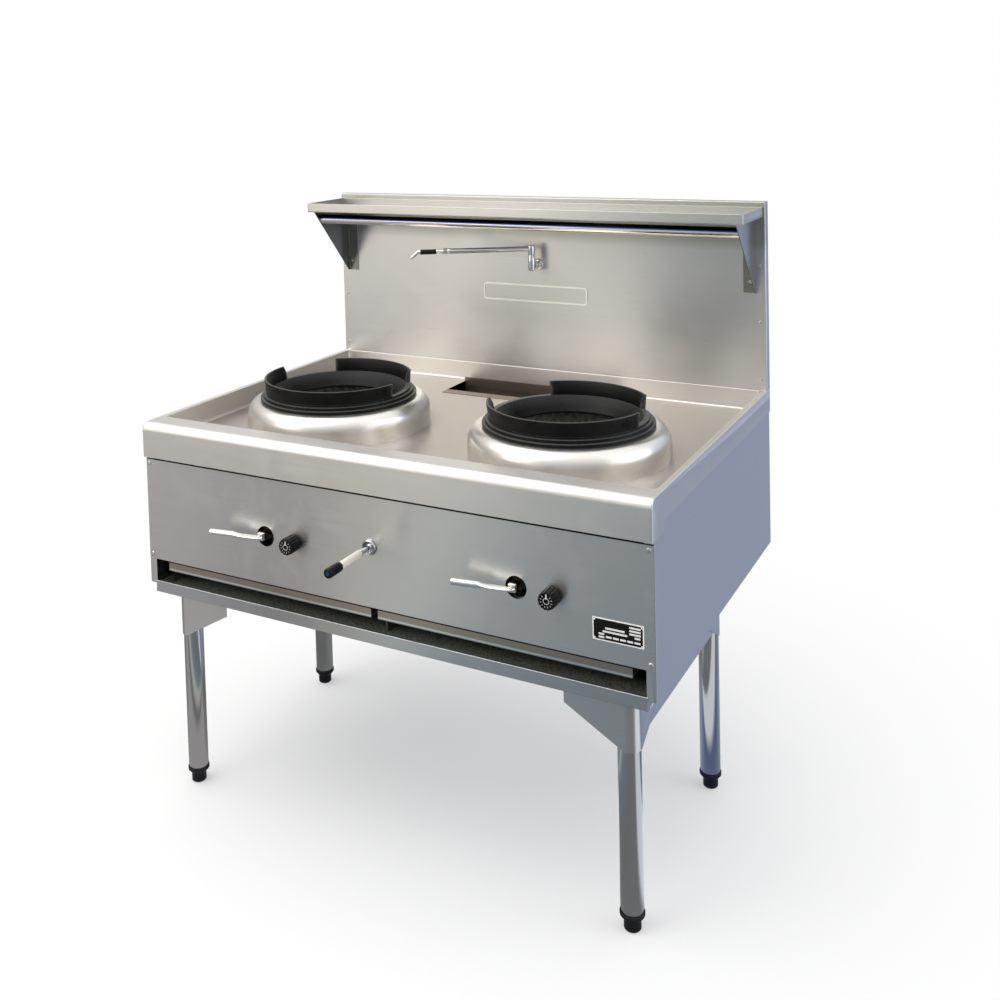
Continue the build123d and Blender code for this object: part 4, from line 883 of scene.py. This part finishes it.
def makeLever(side):
    shape = leverShape
    kink = Vector((shape["kink"][0], shape["kink"][1], 0))
    tip = Vector((shape["tip"][0], shape["tip"][1], 0))
    run = (kink - tip).length
    deselectAll()
    bpy.ops.mesh.primitive_circle_add(vertices=32, radius=shape["radius"] * 0.8, fill_type="NGON")
    handle = bpy.context.object
    startEditing()
    selectMesh()

    def pull(step, wide=1.0, thick=1.0):
        # the next ring of the handle, wider or thinner than the last
        bpy.ops.mesh.extrude_region_move(TRANSFORM_OT_translate={"value": (0, 0, step)})
        pull.at += step
        bpy.ops.transform.resize(value=(wide, thick, 1), center_override=(0, 0, pull.at))

    pull.at = 0.0
    pull(0.0013, 1.25, 1.25)
    pull(run - shape["flat"] - 0.0013)
    wide = (shape["strap"][0] / 2 / shape["radius"]) ** 0.25
    thick = (shape["strap"][1] / 2 / shape["radius"]) ** 0.25
    for step in range(4):
        pull(shape["flat"] / 4, wide, thick)
    pull(0.030)
    for grow in (0.97, 0.92, 0.8, 0.55):
        pull(0.0052, grow)
    finishMesh()
    bpy.ops.object.shade_smooth_by_angle(angle=math.radians(50))
    roundEdges(handle, 0.0005, 2, angle=50)
    direction = (kink - tip).normalized()
    heading = math.degrees(math.atan2(direction.y, direction.x))
    x = shape["x"][side]
    placePiece(handle, turn=(90, 0, 0))          # its width upright, its length along -Y
    placePiece(handle, turn=(0, 0, heading + 90))
    placePiece(handle, (x + tip.x, frontY + tip.y, shape["z"]))
    half = shape["hub"] / 2
    hub = plainBox("hub", (x - half, frontY - shape["hubFront"], shape["z"] - half),
                   (x + half, frontY - shape["hubFront"] + 0.014, shape["z"] + half))
    roundEdges(hub, 0.0022, 2)
    spindle = turnedPart("spindle", ringProfile(0, 0.006, 0, 0.045), 32, 0.0003,
                         (x, frontY - 0.007, shape["z"]), (-90, 0, 0))
    strapFace = frontY - shape["hubFront"] - shape["strap"][1] / 2
    screw = turnedPart("screw", [(0, 0), (0.005, 0), (0.005, 0.003), (0.0042, 0.0036), (0, 0.0038)],
                       6, 0.0003, (x, strapFace - 0.0009, shape["z"]), (90, 15, 0))
    washer = turnedPart("washer", ringProfile(0, 0.0064, 0, 0.001), 32, 0.0003,
                        (x, strapFace, shape["z"]), (90, 0, 0))
    body = "gas_lever_" + side
    lever = joinPieces("gasLever" + side.capitalize(), [handle, hub, spindle, screw, washer])
    dressPiece(lever, body, "chrome", leverSteel, body)


for side in sides:
    makeLever(side)
print("levers done")


# pilot knobs
knobShape = {
    "x": {"left": -0.189, "right": 0.403},
    "z": 0.635,
    "radius": 0.018,
    "flutes": 14,
    "depth": 0.93,       # a flute's bottom, as a share of the radius
    "length": 0.026,
    "skirt": 0.0195,     # length of the fluted part
    "back": 0.006,       # gap to the panel
}


def makeKnob():
    # it looks along +Z, with its back at the origin
    shape = knobShape
    count = shape["flutes"] * 8
    deselectAll()
    bpy.ops.mesh.primitive_circle_add(vertices=count, radius=shape["radius"], fill_type="NGON")
    knob = bpy.context.object
    startEditing()
    bpy.ops.mesh.select_mode(type="VERT")
    bpy.ops.mesh.select_all(action="DESELECT")
    stopEditing()
    for depth, group in ((shape["depth"], (0,)), ((1 + shape["depth"]) / 2, (1, 7))):
        for index, point in enumerate(knob.data.vertices):
            point.select = index % 8 in group
        for part in (*knob.data.polygons, *knob.data.edges):
            part.select = False
        startEditing()
        bpy.ops.transform.resize(value=(depth, depth, 1), center_override=(0, 0, 0))
        stopEditing()
    startEditing()
    selectMesh()

    def pull(step, grow=1.0):
        bpy.ops.mesh.extrude_region_move(TRANSFORM_OT_translate={"value": (0, 0, step)})
        bpy.ops.transform.resize(value=(grow, grow, 1), center_override=(0, 0, 0))

    pull(0.0008)
    pull(shape["skirt"] - 0.0016)
    pull(0.0008, 0.955)
    pull(shape["length"] - shape["skirt"] - 0.0016)
    pull(0.0012, 0.97)
    pull(0.0004, 0.93)
    bpy.ops.mesh.inset(thickness=0.0012)
    bpy.ops.transform.translate(value=(0, 0, -0.0004))
    finishMesh()
    bpy.ops.object.shade_smooth_by_angle(angle=math.radians(35))
    return knob


def makeKnobPrint():
    # a pointer and plain tick marks on the knob's face
    face = knobShape["length"] - 0.0004
    pointer = plainBox("pointer", (-0.0011, 0.004, face), (0.0011, 0.0128, face + 0.00025))
    roundEdges(pointer, 0.0001, 1)
    marks = [pointer]
    for index in range(1, 11):
        tick = plainBox("tick", (-0.0004, 0.0098, face), (0.0004, 0.0125, face + 0.0002))
        placePiece(tick, turn=(0, 0, 30 * index + 15))
        marks.append(tick)
    marks.append(latheShape("ring", ringProfile(0.0052, 0.0060, face, face + 0.0002), 40))
    return joinPieces("knobMarks", marks)


knob = makeKnob()
marks = makeKnobPrint()
for side in sides:
    spot = (knobShape["x"][side], frontY - knobShape["back"], knobShape["z"])
    body = "knob_" + side
    turned = copyPiece(knob, "knob" + side.capitalize(), spot, (90, 0, 0))
    dressPiece(turned, body, "black_plastic", blackPlastic, body)
    printed = copyPiece(marks, "knobMarks" + side.capitalize(), spot, (90, 0, 0))
    dressPiece(printed, body, "black_plastic", whitePrint)
bpy.data.objects.remove(knob)
bpy.data.objects.remove(marks)
print("knobs done")


# the water lever and its ball valve
waterShape = {"z": 0.657, "ballY": -0.3445, "ball": 0.009}


def makeWaterLever():
    shape = waterShape
    radius = shape["ball"]
    ball = latheShape("ball", [(0, -radius)] + arcPoints((0, 0), radius, radius, -82, 70, 14)
                      + [(0.005, 0.0075), (0, 0.0075)], 40)
    smoothByAngle(ball, 50)
    rod = latheShape("rod", ringProfile(0, 0.005, 0.002, 0.04), 32)
    smoothByAngle(rod, 50)
    collar = turnedPart("nutOnRod", ringProfile(0.0048, 0.0068, 0.0325, 0.039), 6, 0.0004)
    lever = joinPieces("waterLever", [ball, rod, collar])
    spot = (0, shape["ballY"], shape["z"])
    placePiece(lever, spot, (90, 0, 0))
    dressPiece(lever, "water_lever", "chrome", chrome, "water_lever")
    sleeve = turnedPart("waterSleeve", [
        (0.004, 0.039), (0.0064, 0.039), (0.0075, 0.0405), (0.0075, 0.1085), (0.004, 0.1085),
        (0.004, 0.039)], 40, 0.0004, spot, (90, 0, 0))
    dressPiece(sleeve, "water_lever", "chrome", paleSleeve)
    grip = turnedPart("waterGrip", [
        (0, 0.109), (0.0082, 0.109), (0.0094, 0.111), (0.0099, 0.115), (0.01, 0.136), (0.009, 0.1365),
        (0.009, 0.1385), (0.01, 0.139), (0.01, 0.148), (0.0092, 0.1502), (0.0078, 0.151), (0, 0.151)],
        48, 0.0004, spot, (90, 0, 0))
    dressPiece(grip, "water_lever", "black_plastic", blackPlastic, "water_grip")
    dot = latheShape("waterDot", ringProfile(0, 0.0032, 0.1505, 0.151), 24)
    placePiece(dot, spot, (90, 0, 0))
    dressPiece(dot, "water_lever", "black_plastic", blueDot)


def makeWaterValve():
    shape = waterShape
    collar = turnedPart("collar", [
        (0.0145, -0.0015), (0.0145, 0), (0.0165, 0), (0.0165, 0.0028), (0.0158, 0.0045), (0.0148, 0.0058),
        (0.0136, 0.0068), (0.0130, 0.007), (0.0126, 0.0066), (0.0122, 0.004), (0.0112, 0.0),
        (0.0098, -0.002), (0.0093, -0.0035), (0.0145, -0.0035), (0.0145, -0.0015)],
        64, 0.0003, (0, frontY, shape["z"]), (90, 0, 0))
    socket = arcPoints((0, 0.0445), 0.0094, 0.0094, 3, -90, 12)
    body = turnedPart("valve", [(0, 0), (0.022, 0), (0.022, 0.045)] + socket, 48, 0.0006,
                      (0, frontY + 0.0465, shape["z"]), (90, 0, 0), segments=3)
    dressPiece(joinPieces("waterValve", [collar, body]), "range", "chrome", darkChrome, "water_valve")


makeWaterLever()
makeWaterValve()
print("water control done")


# the plate, left blank but for its boxes
plateShape = {
    "x": 0.5296, "z": 0.590, "wide": 0.098, "high": 0.042, "thick": 0.0008,
    "border": 0.0022,
    "boxHigh": 0.085,
    # pale blank boxes in shares of the plate: left, right, and the middle's distance from the top
    "boxes": [(0.25, 0.63, 0.42), (0.20, 0.68, 0.57), (0.82, 0.93, 0.60)]
    + [(0.12, 0.23, row) for row in (0.70, 0.84)] + [(0.72, 0.94, row) for row in (0.18, 0.32, 0.46)]
    + [(0.26 + 0.139 * step, 0.375 + 0.139 * step, 0.80) for step in range(5)],
}


def makePlate():
    shape = plateShape
    dressPiece(foldedCopy("dataPlate", "data_plate", 0.0002), "range", "plate", aluminium, "data_plate")
    face = frontY - shape["thick"]
    halfWide = shape["wide"] / 2 - shape["border"]
    halfHigh = shape["high"] / 2 - shape["border"]
    field = plainBox("plateField", (shape["x"] - halfWide, face - 0.0001, shape["z"] - halfHigh),
                     (shape["x"] + halfWide, face, shape["z"] + halfHigh))
    roundEdges(field, 0.00004, 1)
    dressPiece(field, "range", "plate", blackField)
    boxes = []
    for left, right, middle in shape["boxes"]:
        start, end = (shape["x"] + (share - 0.5) * shape["wide"] for share in (left, right))
        low, high = (shape["z"] + (0.5 - middle + half * shape["boxHigh"]) * shape["high"]
                     for half in (-0.5, 0.5))
        boxes.append(plainBox("box", (start, face - 0.00018, low), (end, face - 0.00008, high)))
    boxes = joinPieces("plateBoxes", boxes)
    roundEdges(boxes, 0.00003, 1)
    dressPiece(boxes, "range", "plate", whitePrint)


makePlate()
print("plate done")


# nodes whose CAD shape is right keep it and get a finish
stayingNodes = (
    (stainedSteel, ("strainer_basket",)),
    (dullSteel, ("waste_outlet",)),
    (blackCasting, ("fire_chambers", "burner_left", "burner_right")),
    (brass, ("burner_jets", "pilot_spindle_left", "pilot_spindle_right")),
    (oldBrass, ("gas_cocks", "pilot_valves")),
    (pipeSteel, ("gas_manifold", "burner_pipes", "pilot_pipes", "water_pipes")),
)
for material, names in stayingNodes:
    for name in names:
        nodes[name].data.materials.clear()
        nodes[name].data.materials.append(material)
print("carried nodes done")


# floor, surroundings, soft boxes and camera
studio = {
    "floor": (0.9, 0.9, 0.9),
    "floorTint": (0.67, 0.71, 0.77),     # what polished metal sees of the floor, against the walls
    "fade": (0.5, 1.7),                  # from where to where the floor turns plain white
    "skyHigh": (1.0, 1.0, 1.0),
    "skyLow": (0.55, 0.55, 0.56),
    "lift": 1.15,                        # brightness overhead, against the walls
    # heading from the front, in degrees towards the right, and colour
    "walls": (
        (-180, (0.5, 0.5, 0.52)), (-130, (0.42, 0.41, 0.39)), (-100, (0.3, 0.29, 0.27)),
        (-75, (0.38, 0.36, 0.33)), (-60, (0.66, 0.61, 0.58)), (-47, (0.66, 0.61, 0.58)),
        (-37, (0.3, 0.29, 0.29)), (-31, (0.68, 0.61, 0.52)), (-26, (0.8, 0.79, 0.7)),
        (-20, (0.82, 0.83, 0.77)), (-13, (0.42, 0.45, 0.45)), (10, (0.32, 0.36, 0.4)),
        (40, (0.34, 0.33, 0.31)), (64, (0.36, 0.35, 0.34)), (71, (1.3, 1.3, 1.3)), (94, (1.3, 1.3, 1.3)),
        (103, (0.2, 0.25, 0.42)), (122, (0.5, 0.56, 0.69)), (160, (0.5, 0.56, 0.69)),
        (180, (0.5, 0.5, 0.52)),
    ),
}


def wallColour(tree, direction):
    # the walls by heading, as a ramp round the object, and the direction's height
    parts = partsOf(tree, direction)
    heading = combine(tree, "ARCTAN2", parts["X"], combine(tree, "MULTIPLY", parts["Y"], -1.0))
    ramp = addNode(tree, "ShaderNodeValToRGB", {0: spread(tree, heading, 0.0, 1.0, -math.pi, math.pi)})
    ramp.color_ramp.interpolation = "EASE"
    stops = ramp.color_ramp.elements
    for degrees, colour in studio["walls"][1:-1]:
        stops.new((degrees + 180) / 360).color = (*colour, 1)
    stops[0].color = (*studio["walls"][0][1], 1)
    stops[len(stops) - 1].color = (*studio["walls"][-1][1], 1)
    return ramp.outputs[0], parts["Z"]


def makeFloor():
    deselectAll()
    bpy.ops.mesh.primitive_plane_add(size=30, location=(0, 0, 0))
    floor = bpy.context.object
    floor.name = "floor"
    material, tree = newMaterial("floorPaper")
    place = objectPlace(tree)
    rays = addNode(tree, "ShaderNodeLightPath").outputs
    far = spread(tree, vectorLength(tree, place), 0.35, 1.0, *studio["fade"])
    white = combine(tree, "MULTIPLY", far, rays["Is Camera Ray"])
    paper = addNode(tree, "ShaderNodeBsdfDiffuse", {"Color": (*studio["floor"], 1)}).outputs[0]
    blank = addNode(tree, "ShaderNodeEmission", {"Color": (1, 1, 1, 1)}).outputs[0]
    faded = addNode(tree, "ShaderNodeMixShader", {0: white, 1: paper, 2: blank}).outputs[0]
    tint = combine(tree, "MULTIPLY", wallColour(tree, place)[0], studio["floorTint"], "VectorMath")
    seen = addNode(tree, "ShaderNodeEmission", {"Color": tint}).outputs[0]
    mix = addNode(tree, "ShaderNodeMixShader", {0: rays["Is Glossy Ray"], 1: faded, 2: seen})
    addNode(tree, "ShaderNodeOutputMaterial", {0: mix.outputs[0]})
    floor.data.materials.append(material)


def makeWorld():
    world = bpy.data.worlds.new("studio")
    bpy.context.scene.world = world
    world.use_nodes = True
    tree = world.node_tree
    tree.nodes.clear()
    walls, height = wallColour(tree, addNode(tree, "ShaderNodeTexCoord").outputs["Generated"])
    rise = spread(tree, height, 0.0, 1.0, 0.1, 0.9)
    metalSees = mixColours(tree, rise, walls, (studio["lift"],) * 3)
    sky = mixColours(tree, rise, studio["skyLow"], studio["skyHigh"])
    rays = addNode(tree, "ShaderNodeLightPath").outputs
    seen = mixColours(tree, rays["Is Glossy Ray"], sky, metalSees)
    seen = mixColours(tree, rays["Is Camera Ray"], seen, (1.0, 1.0, 1.0))
    back = addNode(tree, "ShaderNodeBackground", {"Color": seen})
    addNode(tree, "ShaderNodeOutputWorld", {0: back.outputs[0]})


softBoxes = {
    "frontWarm": {
        "place": (-3.0, -4.1, 2.0), "aim": (0.0, 0.2, 0.9), "size": (2.4, 2.8),
        "power": 28, "colour": (1.0, 0.95, 0.88),
    },
    "top": {
        "place": (-1.3, -1.0, 3.5), "aim": (-0.1, 0.1, 0.8), "size": (3.4, 2.8),
        "power": 62, "colour": (1.0, 0.99, 0.97),
    },
    "rightCool": {
        "place": (4.0, 0.8, 1.6), "aim": (0.4, 0.0, 0.6), "size": (2.4, 2.6),
        "power": 40, "colour": (0.86, 0.9, 1.0),
    },
}


def makeLights():
    for name, box in softBoxes.items():
        data = bpy.data.lights.new(name, "AREA")
        data.shape = "RECTANGLE"
        data.size, data.size_y = box["size"]
        data.energy = box["power"]
        data.color = box["colour"]
        light = bpy.data.objects.new(name, data)
        light.location = box["place"]
        heading = Vector(box["aim"]) - Vector(box["place"])
        light.rotation_euler = heading.to_track_quat("-Z", "Y").to_euler()
        bpy.context.scene.collection.objects.link(light)


cameraShape = {
    "place": (1.27553, -2.27569, 1.56129), "yaw": 29.59, "pitch": -3.1, "roll": -1.56,
    "lens": 41.874, "shift": (0.0635, -0.3397),
}


def makeCamera():
    data = bpy.data.cameras.new("camera")
    data.sensor_width = 36
    data.lens = cameraShape["lens"]
    data.shift_x, data.shift_y = cameraShape["shift"]
    camera = bpy.data.objects.new("camera", data)
    yaw, pitch, roll = (math.radians(cameraShape[key]) for key in ("yaw", "pitch", "roll"))
    ahead = Vector((-math.sin(yaw) * math.cos(pitch), math.cos(yaw) * math.cos(pitch), math.sin(pitch)))
    right = Vector((math.cos(yaw), math.sin(yaw), 0))
    up = right.cross(ahead)
    across = right * math.cos(roll) + up * math.sin(roll)
    over = up * math.cos(roll) - right * math.sin(roll)
    turn = Matrix((across, over, -ahead)).transposed().to_4x4()
    camera.matrix_world = Matrix.Translation(cameraShape["place"]) @ turn
    bpy.context.scene.collection.objects.link(camera)
    bpy.context.scene.camera = camera


makeFloor()
makeWorld()
makeLights()
makeCamera()
bpy.context.scene.view_settings.view_transform = "Standard"
print("studio done")
